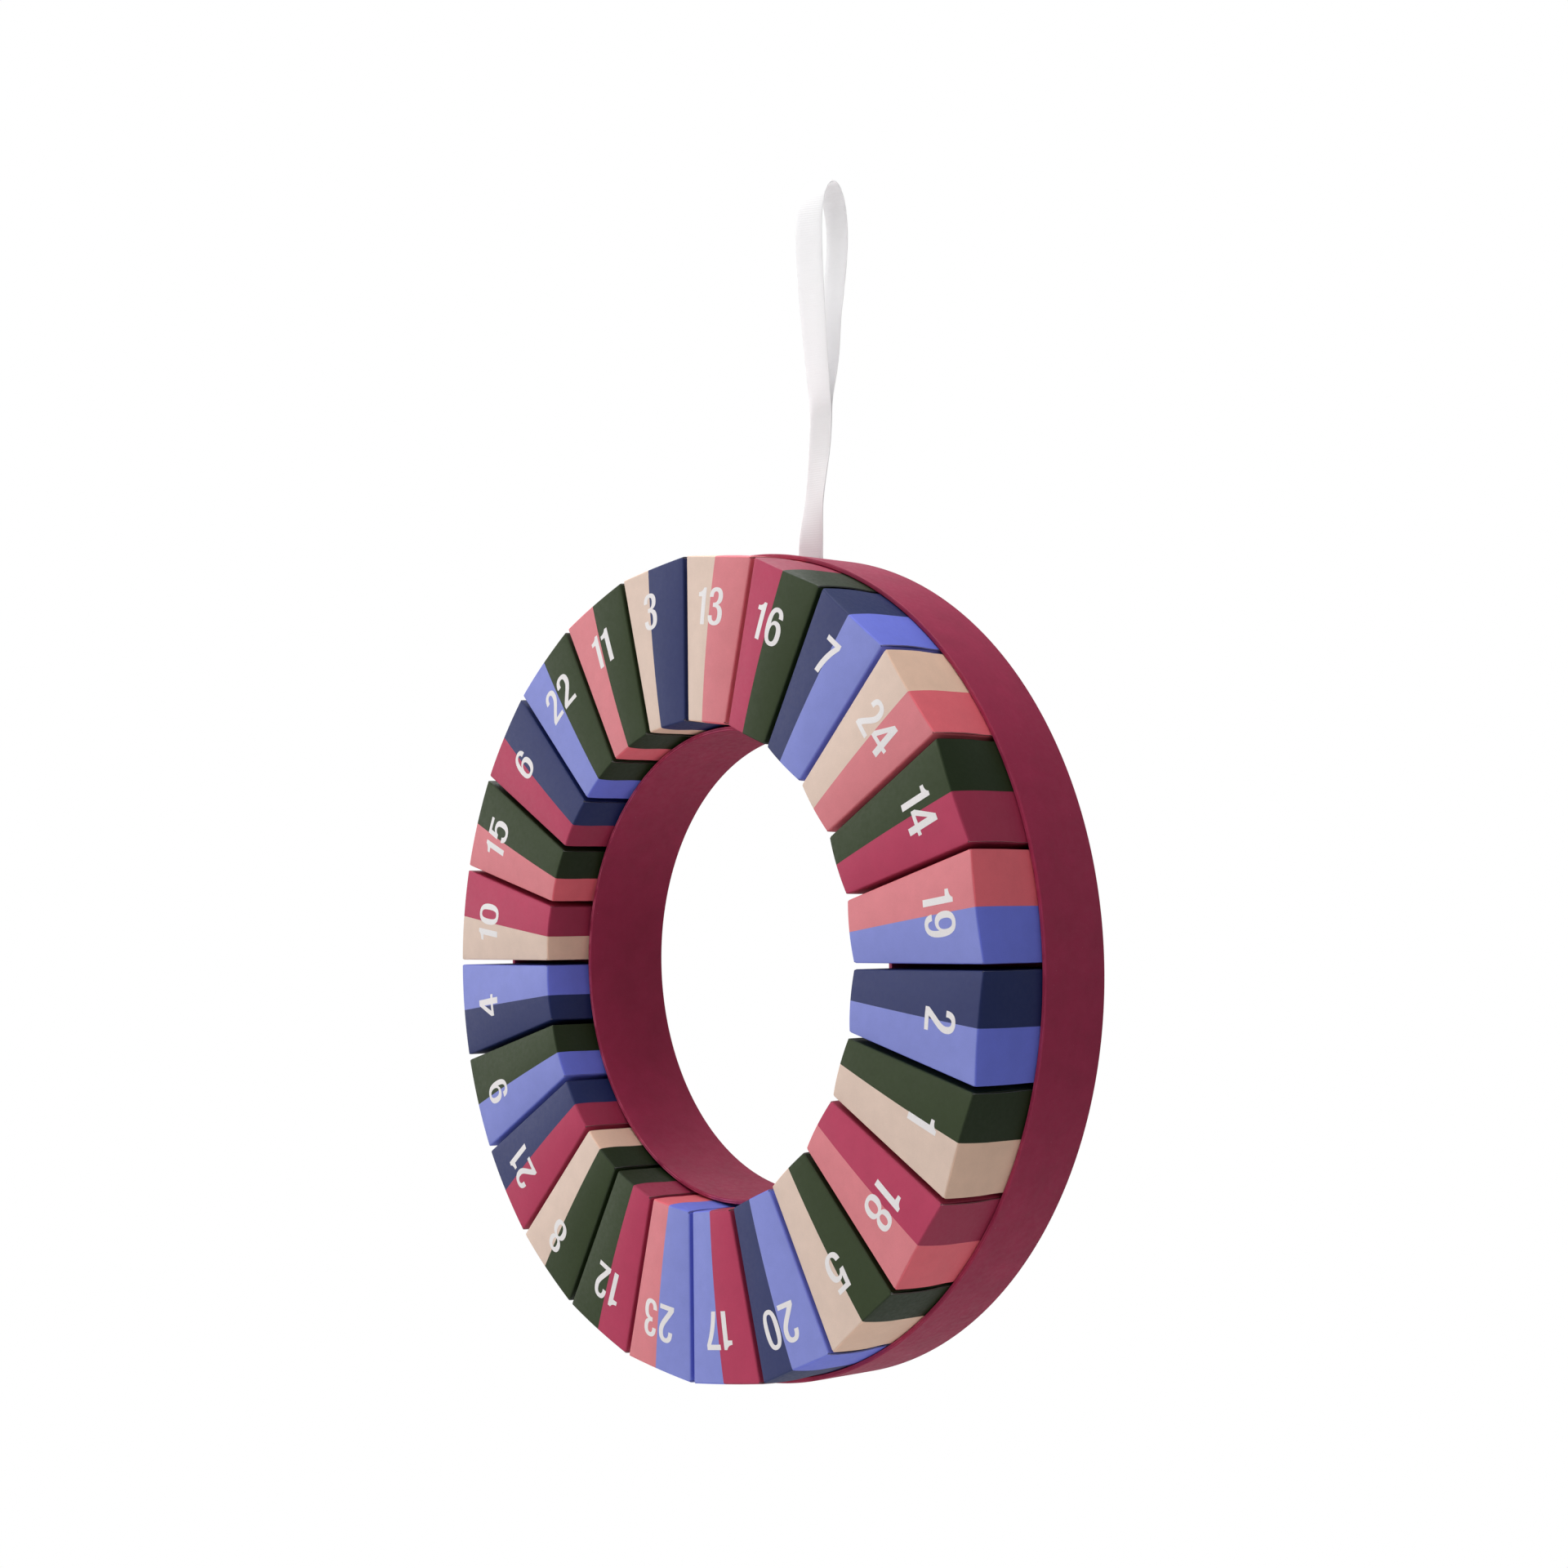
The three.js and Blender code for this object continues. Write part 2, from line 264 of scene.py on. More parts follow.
# %% Node helpers
def linear_colour(code):
    """A screen colour such as d3bfac as linear light, with full opacity."""
    channels = [int(code[i : i + 2], 16) / 255 for i in (0, 2, 4)]
    linear = [c / 12.92 if c <= 0.04045 else ((c + 0.055) / 1.055) ** 2.4 for c in channels]
    return (*linear, 1.0)


def add_node(tree, kind, inputs=None, **settings):
    """A node with its settings. An input gets a link from a socket, or else a plain value."""
    node = tree.nodes.new(kind)
    for name, value in settings.items():
        setattr(node, name, value)
    for name, value in (inputs or {}).items():
        if isinstance(value, bpy.types.NodeSocket):
            tree.links.new(value, node.inputs[name])
        else:
            node.inputs[name].default_value = value
    return node


def mix_colours(tree, factor, first, second):
    """The first colour at a factor of 0, the second one at 1."""
    node = add_node(tree, "ShaderNodeMix", data_type="RGBA")
    for socket, value in ((node.inputs[0], factor), (node.inputs[6], first), (node.inputs[7], second)):
        if isinstance(value, bpy.types.NodeSocket):
            tree.links.new(value, socket)
        else:
            socket.default_value = value
    return node.outputs[2]


def remap(tree, value, low, high, new_low, new_high):
    """A value's range from low to high, stretched to a new one and cut off at its ends."""
    inputs = {"Value": value, "From Min": low, "From Max": high, "To Min": new_low, "To Max": new_high}
    return add_node(tree, "ShaderNodeMapRange", inputs).outputs["Result"]


def multiplied(tree, first, second):
    return add_node(tree, "ShaderNodeMath", {0: first, 1: second}, operation="MULTIPLY").outputs[0]


def shaded(tree, colour, factor):
    """A colour made lighter or darker by a factor."""
    return add_node(tree, "ShaderNodeVectorMath", {0: colour, "Scale": factor}, operation="SCALE").outputs[0]


print("middle grey as linear light:", round(linear_colour("808080")[0], 3))

# %% [markdown]
# ### Patterns and relief
# Board, paper and cloth vary at several sizes at once: cloudy over centimetres and fibrous under a
# millimetre. Patterns could be mapped onto the faces, but folded sheets stretch such a map at their
# creases. So most of the detail is noise, read at the piece's own place and given by the real size of
# its grain. A bump turns the finest noise into relief.

# %% Patterns and relief
NOISE_SPREAD = (0.3, 0.7)
NOISE_ROUGHNESS = 0.55


def noise(tree, grain_size, detail=3.0):
    """Noise with a real grain size, in the piece's own place at rest."""
    coordinates = add_node(tree, "ShaderNodeTexCoord").outputs["Object"]
    inputs = {"Vector": coordinates, "Scale": 1 / grain_size, "Detail": detail, "Roughness": NOISE_ROUGHNESS}
    return add_node(tree, "ShaderNodeTexNoise", inputs).outputs["Fac"]


def varied(tree, grain_size, low, high, detail=3.0):
    """Noise of a grain size, spread between two values."""
    return remap(tree, noise(tree, grain_size, detail), *NOISE_SPREAD, low, high)


def mask(tree, name):
    """One of the two masks that a sheet's mesh carries."""
    return add_node(tree, "ShaderNodeAttribute", attribute_name=name).outputs["Fac"]


def new_surface(name):
    """A material with a bare Principled shader."""
    material = bpy.data.materials.new(name)
    material.use_nodes = True
    tree = material.node_tree
    return material, tree, tree.nodes["Principled BSDF"]


def relief(tree, shader, height, depth, strength):
    """Let a height pattern shape the surface's shading, with its real depth."""
    bump = add_node(tree, "ShaderNodeBump", {"Height": height, "Distance": depth, "Strength": strength})
    tree.links.new(bump.outputs["Normal"], shader.inputs["Normal"])


print("noise is spread from", NOISE_SPREAD[0], "to", NOISE_SPREAD[1])

# %% [markdown]
# ### Printed card
# The cartons are folding boxboard printed in flat, matt ink. Close up it shows the fibres of the
# board and a faint mottle. A thin painted highlight, broken in patches, runs along each end fold.
# The panels that are folded away from the front get a deeper colour, which is painted shade. A
# picture could hold all this, but it blurs close up. Noise at the real grain sizes stays sharp, and
# the two masks say where the creases and the folded panels are.

# %% Card materials
# Each print has two colours: its own, seen on the front, and a deeper one that paints shade onto the panels
# folded away from the front.
PRINT_COLOURS = {
    "beige": ("d8c0b1", "e3bfa8"),
    "pink": ("d47c83", "de6570"),
    "raspberry": ("b03858", "982d4a"),
    "green": ("2d3a1c", "1a280e"),
    "navy": ("313864", "1b2858"),
    "periwinkle": ("8189ce", "6873d6"),
}
CREASE_HIGHLIGHT = 0.28
CREASE_HIGHLIGHT_BREAKS = 12 * MM
CREASE_SPREAD = (0.4, 0.6)
CREASE_LEAST = 0.2
MOTTLE = 0.035
MOTTLE_SIZE = 9 * MM
CARD_FIBRE = 0.35 * MM
CARD_PATCHES = 2 * MM
CARD_ROUGHNESS = (0.5, 0.62)
CARD_SHINE = 0.27
CARD_GRAIN = 0.25 * MM
CARD_RELIEF = 0.02 * MM


def printed_card(name, front_code, painted_shade_code):
    material, tree, shader = new_surface(name)
    # Painted shade: the turned mask blends the print towards its deeper colour on the folded panels.
    panel = mix_colours(tree, mask(tree, "turned"), linear_colour(front_code), linear_colour(painted_shade_code))
    mottle = varied(tree, MOTTLE_SIZE, 1 - MOTTLE, 1 + MOTTLE)
    grain = varied(tree, CARD_FIBRE, 1 - MOTTLE, 1 + MOTTLE, detail=2.0)
    shade = multiplied(tree, mottle, grain)
    # Painted highlight along the crease row of each end fold, broken in patches by noise.
    lift = (CREASE_LEAST * CREASE_HIGHLIGHT, CREASE_HIGHLIGHT)
    painted_highlight = remap(tree, noise(tree, CREASE_HIGHLIGHT_BREAKS, detail=2.0), *CREASE_SPREAD, *lift)
    inputs = {0: mask(tree, "crease"), 1: painted_highlight, 2: 1.0}
    lifted = add_node(tree, "ShaderNodeMath", inputs, operation="MULTIPLY_ADD").outputs[0]
    base = shaded(tree, panel, multiplied(tree, shade, lifted))
    tree.links.new(base, shader.inputs["Base Color"])
    tree.links.new(varied(tree, CARD_PATCHES, *CARD_ROUGHNESS), shader.inputs["Roughness"])
    shader.inputs["Specular IOR Level"].default_value = CARD_SHINE
    relief(tree, shader, noise(tree, CARD_GRAIN, detail=4.0), CARD_RELIEF, strength=0.5)
    return material


card = {name: printed_card(f"card_{name}", *codes) for name, codes in PRINT_COLOURS.items()}
print("card materials:", ", ".join(card))

# %% [markdown]
# ### Cut edges and insides
# A cut edge shows the board's pale core, which the ink of the face beside it tints, and the inside of
# a carton is bare board. One card material could tell the edge by its angle, but that fails on bowed
# panels. So the edge and the inside are materials of their own, and the card's thickness, made
# further down, puts each in its place.

# %% Board materials
BARE_BOARD = "dcdad8"
EDGE_TINT = 0.8
BOARD_FIBRE = 0.3 * MM
BOARD_SHADES = (0.82, 1.0)
BOARD_ROUGHNESS = 0.85
BOARD_GRAIN = 0.2 * MM
BOARD_RELIEF = 0.04 * MM


def cut_board(name, code, tint):
    """The board's core, tinted by the ink of the face beside it."""
    material, tree, shader = new_surface(name)
    core, ink = np.array(linear_colour(BARE_BOARD)), np.array(linear_colour(code))
    colour = tuple(blend_between(core, ink, tint))
    base = shaded(tree, colour[:3], varied(tree, BOARD_FIBRE, *BOARD_SHADES, detail=4.0))
    tree.links.new(base, shader.inputs["Base Color"])
    shader.inputs["Roughness"].default_value = BOARD_ROUGHNESS
    relief(tree, shader, noise(tree, BOARD_GRAIN, detail=4.0), BOARD_RELIEF, strength=0.7)
    return material


card_edge = {}
# The cut edges are tinted with each print's deeper colour, the painted shade of the folded panels.
for name, (_, painted_shade_code) in PRINT_COLOURS.items():
    card_edge[name] = cut_board(f"card_edge_{name}", painted_shade_code, EDGE_TINT)
bare_board = cut_board("bare_board", BARE_BOARD, 0)
print("board materials:", len(card_edge), "edges and", bare_board.name)

# %% [markdown]
# ### White ink
# The numbers are printed in an opaque white that lets a little of the card's grain through. They could
# be mixed into the card's material, but that takes a picture of each number. As pieces of their own
# they only need two whites, and their outlines stay sharp.

# %% Ink material
FULL_INK, THIN_INK = "e6e2e2", "dcd6d6"
INK_PATCHES = 0.6 * MM
INK_THINNING = (0, 0.6)
INK_ROUGHNESS = 0.55


def number_ink():
    material, tree, shader = new_surface("number_ink")
    thinned = varied(tree, INK_PATCHES, *INK_THINNING)
    base = mix_colours(tree, thinned, linear_colour(FULL_INK), linear_colour(THIN_INK))
    tree.links.new(base, shader.inputs["Base Color"])
    shader.inputs["Roughness"].default_value = INK_ROUGHNESS
    relief(tree, shader, noise(tree, CARD_GRAIN, detail=4.0), CARD_RELIEF, strength=0.4)
    return material


white_ink = number_ink()
print("ink material:", white_ink.name)

# %% [markdown]
# ### Wrap paper
# The tray is covered in dyed burgundy paper. Long fibres cloud its colour, and fine lint shows as a
# few paler specks. Where the paper turns over the rims, a painted highlight lightens it in broken
# lines. One colour with a bump would look like plastic, so each of these has noise of its own size,
# and the crease mask keeps the painted highlight on the rims.

# %% Wrap material
BURGUNDY, LINT, RIM_HIGHLIGHT_ROSE = "962849", "d8a0ac", "dd6a8a"
CLOUD_SIZE = 14 * MM
CLOUD_SHADES = (0.92, 1.08)
PAPER_FIBRE = 0.5 * MM
FIBRE_SHADES = (0.93, 1.07)
LINT_SIZE = 1.1 * MM
LINT_SPREAD = (0.79, 0.84)
LINT_COVER = 0.35
RIM_BREAKS = 11 * MM
RIM_SPREAD = (0.42, 0.58)
RIM_COVER = (0.15, 0.95)
PAPER_PATCHES = 3 * MM
PAPER_ROUGHNESS = (0.5, 0.66)
PAPER_SHINE = 0.24
PAPER_GRAIN = 0.4 * MM
PAPER_RELIEF = 0.04 * MM


def wrap_paper():
    material, tree, shader = new_surface("wrap_paper")
    clouds = varied(tree, CLOUD_SIZE, *CLOUD_SHADES, detail=4.0)
    fibres = varied(tree, PAPER_FIBRE, *FIBRE_SHADES, detail=4.0)
    dyed = shaded(tree, linear_colour(BURGUNDY)[:3], multiplied(tree, clouds, fibres))
    specks = remap(tree, noise(tree, LINT_SIZE, detail=1.0), *LINT_SPREAD, 0, LINT_COVER)
    linted = mix_colours(tree, specks, dyed, linear_colour(LINT))
    # Painted highlight on the rims, broken into lines by noise.
    broken = remap(tree, noise(tree, RIM_BREAKS), *RIM_SPREAD, *RIM_COVER)
    painted_rim_highlight = multiplied(tree, mask(tree, "crease"), broken)
    base = mix_colours(tree, painted_rim_highlight, linted, linear_colour(RIM_HIGHLIGHT_ROSE))
    tree.links.new(base, shader.inputs["Base Color"])
    tree.links.new(varied(tree, PAPER_PATCHES, *PAPER_ROUGHNESS), shader.inputs["Roughness"])
    shader.inputs["Specular IOR Level"].default_value = PAPER_SHINE
    relief(tree, shader, noise(tree, PAPER_GRAIN, detail=5.0), PAPER_RELIEF, strength=0.6)
    return material


paper = wrap_paper()
print("tray material:", paper.name)

# %% [markdown]
# ### Grosgrain
# The ribbon is white grosgrain, a close weave with ribs across it, thin enough to let light through.
# The ribs could be a bump, but they show along the ribbon's edges, so they are real geometry further
# down. The material adds the fine threads, the light that passes through the cloth, and the soft
# sheen of polyester.

# %% Ribbon material
THREAD_TOP, THREAD_SIDE = "faf8fa", "f2f0f2"
THREAD_SIZE = 0.15 * MM
THREAD_RELIEF = 0.02 * MM
LIGHT_REACH = 2 * MM


def grosgrain():
    material, tree, shader = new_surface("grosgrain")
    threads = noise(tree, THREAD_SIZE)
    cover = remap(tree, threads, *NOISE_SPREAD, 0, 1)
    base = mix_colours(tree, cover, linear_colour(THREAD_TOP), linear_colour(THREAD_SIDE))
    tree.links.new(base, shader.inputs["Base Color"])
    shader.inputs["Roughness"].default_value = 0.6
    shader.inputs["Subsurface Weight"].default_value = 0.8
    shader.inputs["Subsurface Radius"].default_value = (1, 1, 1)
    shader.inputs["Subsurface Scale"].default_value = LIGHT_REACH
    shader.inputs["Sheen Weight"].default_value = 0.25
    shader.inputs["Sheen Roughness"].default_value = 0.4
    relief(tree, shader, threads, THREAD_RELIEF, strength=0.6)
    return material


ribbon_cloth = grosgrain()
print("ribbon material:", ribbon_cloth.name)

# %% [markdown]
# ## The tray
# The real tray is two hoops of board on edge with a flat ring between them, all covered in paper. A
# hoop could be a tube with a Bevel modifier, but the painted highlight on its rim needs points in known
# places. So each piece is one profile turned round the axis. Its front corners are arcs, and the crease
# mask puts a painted highlight where the rim's flat meets them.

# %% Turned pieces
TRAY_STEPS = 360
RIM_ROUND = 0.5 * MM
OUTER_RIM_HIGHLIGHT = 0.25
INNER_RIM_HIGHLIGHT = 1.0
ARC_STEPS = 5


def arc(centre, radius, start, end, steps):
    """Points (radius, depth) on an arc. Angles are in degrees, from outwards towards the front."""
    angles = np.radians(np.linspace(start, end, steps + 1))
    return [(centre[0] + radius * math.cos(a), centre[1] - radius * math.sin(a)) for a in angles]


def turned_grid(profile, turns):
    """The points of a profile at each of the turns."""
    radius = np.array([p[0] for p in profile])[:, None]
    depth = np.array([p[1] for p in profile])[:, None]
    x = RING_X + radius * np.sin(turns)
    z = RING_Z + radius * np.cos(turns)
    return np.stack(np.broadcast_arrays(x, FRONT_Y + depth, z), axis=-1)


def hoop_profile(inside, outside, rim, back, stops=()):
    """A board on edge, from its back up the outside, over the rounded rim and down the inside."""
    profile = [(outside, back), *[(outside, s) for s in stops]]
    profile += arc((outside - RIM_ROUND, rim + RIM_ROUND), RIM_ROUND, 0, 90, ARC_STEPS)
    profile.append(((inside + outside) / 2, rim))
    profile += arc((inside + RIM_ROUND, rim + RIM_ROUND), RIM_ROUND, 90, 180, ARC_STEPS)
    profile += [*[(inside, s) for s in reversed(stops)], (inside, back)]
    return profile


def rim_mask(profile, rim, rim_highlight):
    """The painted highlight where the rim's flat meets its rounded corners, and nothing elsewhere."""
    middle = (min(p[0] for p in profile) + max(p[0] for p in profile)) / 2
    painted_highlight = [abs(p[1] - rim) < MERGE and abs(p[0] - middle) > MERGE for p in profile]
    return rim_highlight * np.array(painted_highlight)[:, None]


print("turned pieces have", TRAY_STEPS, "steps and corners of", RIM_ROUND, "m")

# %% [markdown]
# ### Closing and placing a piece
# Every piece ends in much the same way. Its faces are turned outwards, it is shaded smooth apart from
# its sharp edges, and it is fastened to the body that it moves with. An Edge Split modifier would keep
# the edges sharp too, but it cuts the mesh open there. Marked edges leave it closed.

# %% Finish a piece
def sharpen(piece, degrees):
    """Shade the mesh smooth, apart from edges that turn by more than an angle."""
    piece.data.shade_smooth()
    piece.data.set_sharp_from_angle(angle=math.radians(degrees))


def close_up(piece, degrees):
    """Turn all faces outwards, sharpen the edges and say whether the mesh is closed."""
    bm = bmesh.new()
    bm.from_mesh(piece.data)
    bmesh.ops.recalc_face_normals(bm, faces=bm.faces)
    open_edges = sum(not edge.is_manifold for edge in bm.edges)
    bm.to_mesh(piece.data)
    bm.free()
    sharpen(piece, degrees)
    print(piece.name, len(piece.data.polygons), "faces,", open_edges, "open edges")


def place_piece(piece, body, slot, *nodes):
    """Fasten a piece to its body and let it stand for CAD nodes. Its slot is not used."""
    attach(piece, body)
    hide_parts(*nodes)


# %% [markdown]
# ### Hoops and board
# The ribbon leaves the tray through a slot in the outer hoop. A Boolean modifier could cut it, but it
# leaves long thin faces in a round wall. Here the hoop's grid gets rows and columns on the slot's edges,
# the faces in between are left out, and four small walls close the board's thickness.

# %% Tray pieces
RIBBON_WIDTH = 18 * MM
RIBBON_THICKNESS = 0.45 * MM
LAYER_GAP = 0.3 * MM
SLOT_CLEARANCE = 0.4 * MM
RIBBON_PACK = 2 * RIBBON_THICKNESS + LAYER_GAP
RIBBON_X = (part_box("hanging_ribbon")[0].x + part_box("hanging_ribbon")[1].x) / 2
SLOT_STEPS = 12
BOARD_SOFT = 0.3 * MM
SOFT_STEPS = 2
HOOP_SHARP = 40


def outer_hoop():
    front, back = BOARD_FRONT - RIBBON_PACK - SLOT_CLEARANCE, BOARD_FRONT + SLOT_CLEARANCE
    profile = hoop_profile(WALL_INSIDE, TRAY_RADIUS, OUTER_RIM, TRAY_BACK, (back, front))
    half = RIBBON_WIDTH / 2 + SLOT_CLEARANCE
    edges = [math.asin((RIBBON_X - RING_X + side * half) / TRAY_RADIUS) for side in (-1, 1)]
    around = np.linspace(edges[1], edges[0] + 2 * math.pi, TRAY_STEPS)
    across = np.linspace(edges[0], edges[1], SLOT_STEPS + 1)
    last = len(profile) - 1
    profile.append(profile[0])
    rim_highlight = rim_mask(profile, OUTER_RIM, OUTER_RIM_HIGHLIGHT)
    sheet = SheetMesh()
    sheet.add_grid(turned_grid(profile, around), crease=rim_highlight)
    grid = turned_grid(profile, across)
    for rows in (slice(0, 2), slice(2, last - 1), slice(last - 1, last + 2)):
        sheet.add_grid(grid[rows], crease=rim_highlight[rows])
    for outside, inside in ((1, last - 1), (2, last - 2)):
        sheet.add_grid(grid[[outside, inside]])
    for column in (0, -1):
        sheet.add_grid(grid[[[1, 2], [last - 1, last - 2]], column])
    return sheet.build("tray_outer_hoop", [paper])


def inner_hoop():
    profile = hoop_profile(HOLE_RADIUS, WALL_OUTSIDE, INNER_RIM, TRAY_BACK)
    profile.append(profile[0])
    sheet = SheetMesh()
    turns = np.linspace(0, 2 * math.pi, TRAY_STEPS + 1)
    sheet.add_grid(turned_grid(profile, turns), crease=rim_mask(profile, INNER_RIM, INNER_RIM_HIGHLIGHT))
    return sheet.build("tray_inner_hoop", [paper])


def back_ring():
    profile = []
    outside, inside = BOARD_OUTSIDE - BOARD_SOFT, BOARD_INSIDE + BOARD_SOFT
    front, back = BOARD_FRONT + BOARD_SOFT, TRAY_BACK - BOARD_SOFT
    corners = ((outside, back, 270), (outside, front, 0), (inside, front, 90), (inside, back, 180))
    for radius, depth, start in corners:
        profile += arc((radius, depth), BOARD_SOFT, start, start + 90, SOFT_STEPS)
    profile.append(profile[0])
    sheet = SheetMesh()
    sheet.add_grid(turned_grid(profile, np.linspace(0, 2 * math.pi, TRAY_STEPS + 1)))
    return sheet.build("tray_back_board", [paper])


tray_pieces = ((outer_hoop(), "outer_wall"), (inner_hoop(), "inner_wall"), (back_ring(), "back_board"))
for piece, node in tray_pieces:
    close_up(piece, HOOP_SHARP)
    place_piece(piece, "tray", "tray_wrap", node)

# %% [markdown]
# ## The cartons
# Each carton is folded from one card, whose thickness shows wherever it is cut. Both faces could be
# drawn point by point, but the Solidify modifier makes them from one sheet: it keeps the thickness
# even round the folds, and gives the inside and the rim materials of their own. What it makes is kept
# as the piece's mesh.

# %% Card thickness
CARD = 0.6 * MM


def keep_modifiers(piece):
    """Turn what the modifiers make into the piece's own mesh."""
    made = bpy.data.meshes.new_from_object(piece.evaluated_get(bpy.context.evaluated_depsgraph_get()))
    made.name = piece.name
    piece.modifiers.clear()
    piece.data = made


def thicken(piece, thickness, inside_slots=0, rim_slots=0, middle=False):
    """Give a sheet its thickness, inwards or on both sides, with other materials inside and on the rim."""
    solidify = piece.modifiers.new("thickness", "SOLIDIFY")
    solidify.thickness = thickness
    solidify.offset = 0 if middle else -1
    solidify.use_even_offset = True
    solidify.use_quality_normals = True
    solidify.material_offset = inside_slots
    solidify.material_offset_rim = rim_slots
    keep_modifiers(piece)


print("card thickness:", CARD, "m")

# %% [markdown]
# ### Crowned fronts
# Card never lies quite flat. The front bulges forwards between its two straight side creases. A bump
# could hint at that, but the bulge bends every printed line, so it is modelled. It is highest in the
# middle and falls off towards both ends. The side panels are stiff between their folds and swell
# only a little.

# %% Crowned fronts
SIDE_CREASE = 0.9 * MM
END_FOLD = 0.8 * MM
BACK_FOLD = 0.6 * MM
FRONT_CROWN = 2.1 * MM
CROWN_LOSS = 0.58
EDGE_ANGLE = math.radians(11)
EDGE_SINK = SIDE_CREASE * (1 - math.cos(EDGE_ANGLE))
CROWN_FADE = 20 * MM
SIDE_SWELL = 0.25 * MM


def front_edge(radius):
    """How far across the front panel runs before its side crease turns."""
    return half_width(radius) - SIDE_CREASE * (1 - math.sin(EDGE_ANGLE))


def front_depth(across, radius, edge=None):
    """The depth of the crowned front. Negative values stand forwards."""
    share = (across / (front_edge(radius) if edge is None else edge)) ** 2
    height = FRONT_CROWN * (1 - CROWN_LOSS * ((radius - MIDDLE) / HALF_LENGTH) ** 2)
    return EDGE_SINK * share - height * (1 - share)


def side_bulge(depth, radius):
    """A side panel is stiff between its folds and swells only a little."""
    along = np.clip((radius - INNER_END) / (OUTER_END - INNER_END), 0, 1)
    return SIDE_SWELL * np.sin(math.pi * depth / CARTON_DEPTH) * np.sin(math.pi * along)


print("a front stands", round(float(-front_depth(0, MIDDLE)), 4), "m proud in its middle")

# %% [markdown]
# ### Bowed ends
# The closure bows outwards, and the inner end a little towards the axis. Cloth simulation could find
# such curves, but it wouldn't keep the card clear of the tray. So a bow is a formula: it rises from the
# crease as a sine, falls back to flat as a cosine further in, and loses height towards its corners.
# Behind the tray's rim the closure's corners lose more, so that they stay inside the hoop.

# %% Bowed ends
CLOSURE_BOW = {"height": 1.65 * MM, "rise_over": 17 * MM, "fall_from": 38 * MM, "fall_over": 29 * MM}
INNER_BOW = {"height": 0.55 * MM, "rise_over": 8 * MM, "fall_from": 8 * MM, "fall_over": 13 * MM}
CLOSURE_CORNER_LOSS = (0.5, 0.88)
INNER_CORNER_LOSS = 0.6
HOOP_FROM, HOOP_OVER = 20 * MM, 12 * MM


def bowed(depth, share, corner_loss, height, rise_over, fall_from, fall_over):
    """The bow at a depth and at a share of the way from the middle to a side."""
    rise = np.sin(math.pi / 2 * np.clip(depth / rise_over, 0, 1))
    fall = 0.5 + 0.5 * np.cos(math.pi * np.clip((depth - fall_from) / fall_over, 0, 1))
    return height * rise * fall * (1 - corner_loss * share**2)


def closure_bow(depth, share):
    corner_loss = blend_between(*CLOSURE_CORNER_LOSS, smoothstep((depth - HOOP_FROM) / HOOP_OVER))
    return bowed(depth, share, corner_loss, **CLOSURE_BOW)


def inner_bow(depth, share):
    return bowed(depth, share, INNER_CORNER_LOSS, **INNER_BOW)


print("bows:", CLOSURE_BOW["height"], "m at the closure,", INNER_BOW["height"], "m at the inner end")

# %% [markdown]
# ### The belt of card
# Back, inner end and front are one belt of card, folded twice. They could be three flat panels set
# edge to edge, but then the folds would be sharp. As one grid, the rows follow the belt round each
# fold, and the columns run across, eight on each side of the line where the two print colours meet.

# %% Belt rows
HALF_COLUMNS = 8
OVERHANG = 0.3 * MM


def columns_across(edge, divider):
    """Places across a panel, with one column on the print's dividing line."""
    first = np.linspace(-edge, divider, HALF_COLUMNS + 1)
    return np.concatenate([first, np.linspace(divider, edge, HALF_COLUMNS + 1)[1:]])


class Printing:
    """Where one carton's dividing line runs, as a shift and a turn of the print on the card."""

    def __init__(self, shift, turn):
        self.shift, self.slope = shift, math.tan(math.radians(turn))

    def divider(self, radius):
        return self.shift + self.slope * (radius - MIDDLE)


def row_of(across, depth, radius):
    """One row of points over the width of the card."""
    return np.stack(np.broadcast_arrays(across, depth, radius), axis=-1)


def end_panel_rows(printing, end, outwards, bow, depths):
    """Rows of an end panel, from the front's crease over the fold and down to a depth."""
    start = end - outwards * END_FOLD
    front_half, end_half = front_edge(start), half_width(end) - OVERHANG
    divider = printing.divider(start)
    rows = []
    for angle in np.radians(np.linspace(0, 90, ARC_STEPS + 1)):
        edge = blend_between(front_half, end_half, smoothstep(angle / (math.pi / 2)))
        across = columns_across(edge, divider)
        depth = END_FOLD * (1 - math.cos(angle)) + front_depth(across, start, edge)
        rows.append(row_of(across, depth, start + outwards * END_FOLD * math.sin(angle)))
    for depth in depths:
        across = columns_across(end_half, divider)
        lean = front_depth(across, start, end_half) * (1 - smoothstep((depth - END_FOLD) / CROWN_FADE))
        rows.append(row_of(across, depth + lean, end + outwards * bow(depth, across / end_half)))
    return rows


CREASE_ROW = ARC_STEPS - 1
FOLD_PAINTED_SHADE = [0.0, 0.3, 0.6]


def creased(row, count):
    """The crease mask of a grid with one creased row."""
    return (np.arange(count) == row)[:, None].astype(float)


def turned_rows(count):
    """How much painted shade each row of an end panel gets, from the front's crease onwards."""
    return FOLD_PAINTED_SHADE + [1.0] * (count - len(FOLD_PAINTED_SHADE))


print("columns across a carton:", len(columns_across(half_width(MIDDLE), 0)))

# %% [markdown]
# ### Side panels
# Two side panels join the belt's front to its back, with a rounded crease at each corner. They could be
# flat faces with a Bevel modifier, but a bevel wouldn't follow the crowned front. So each column of
# the grid is one line along the sleeve, at its own angle about the corner.

# %% Side panels
ROWS_ALONG = 12
SIDE_SHARES = (0.1, 0.22, 0.35, 0.5, 0.65, 0.8, 0.93, 1)
FLAP_FOLD = 0.5 * MM
FLAP_PLAY = 0.05 * MM
UNDER_CLOSURE = CARD + FLAP_PLAY


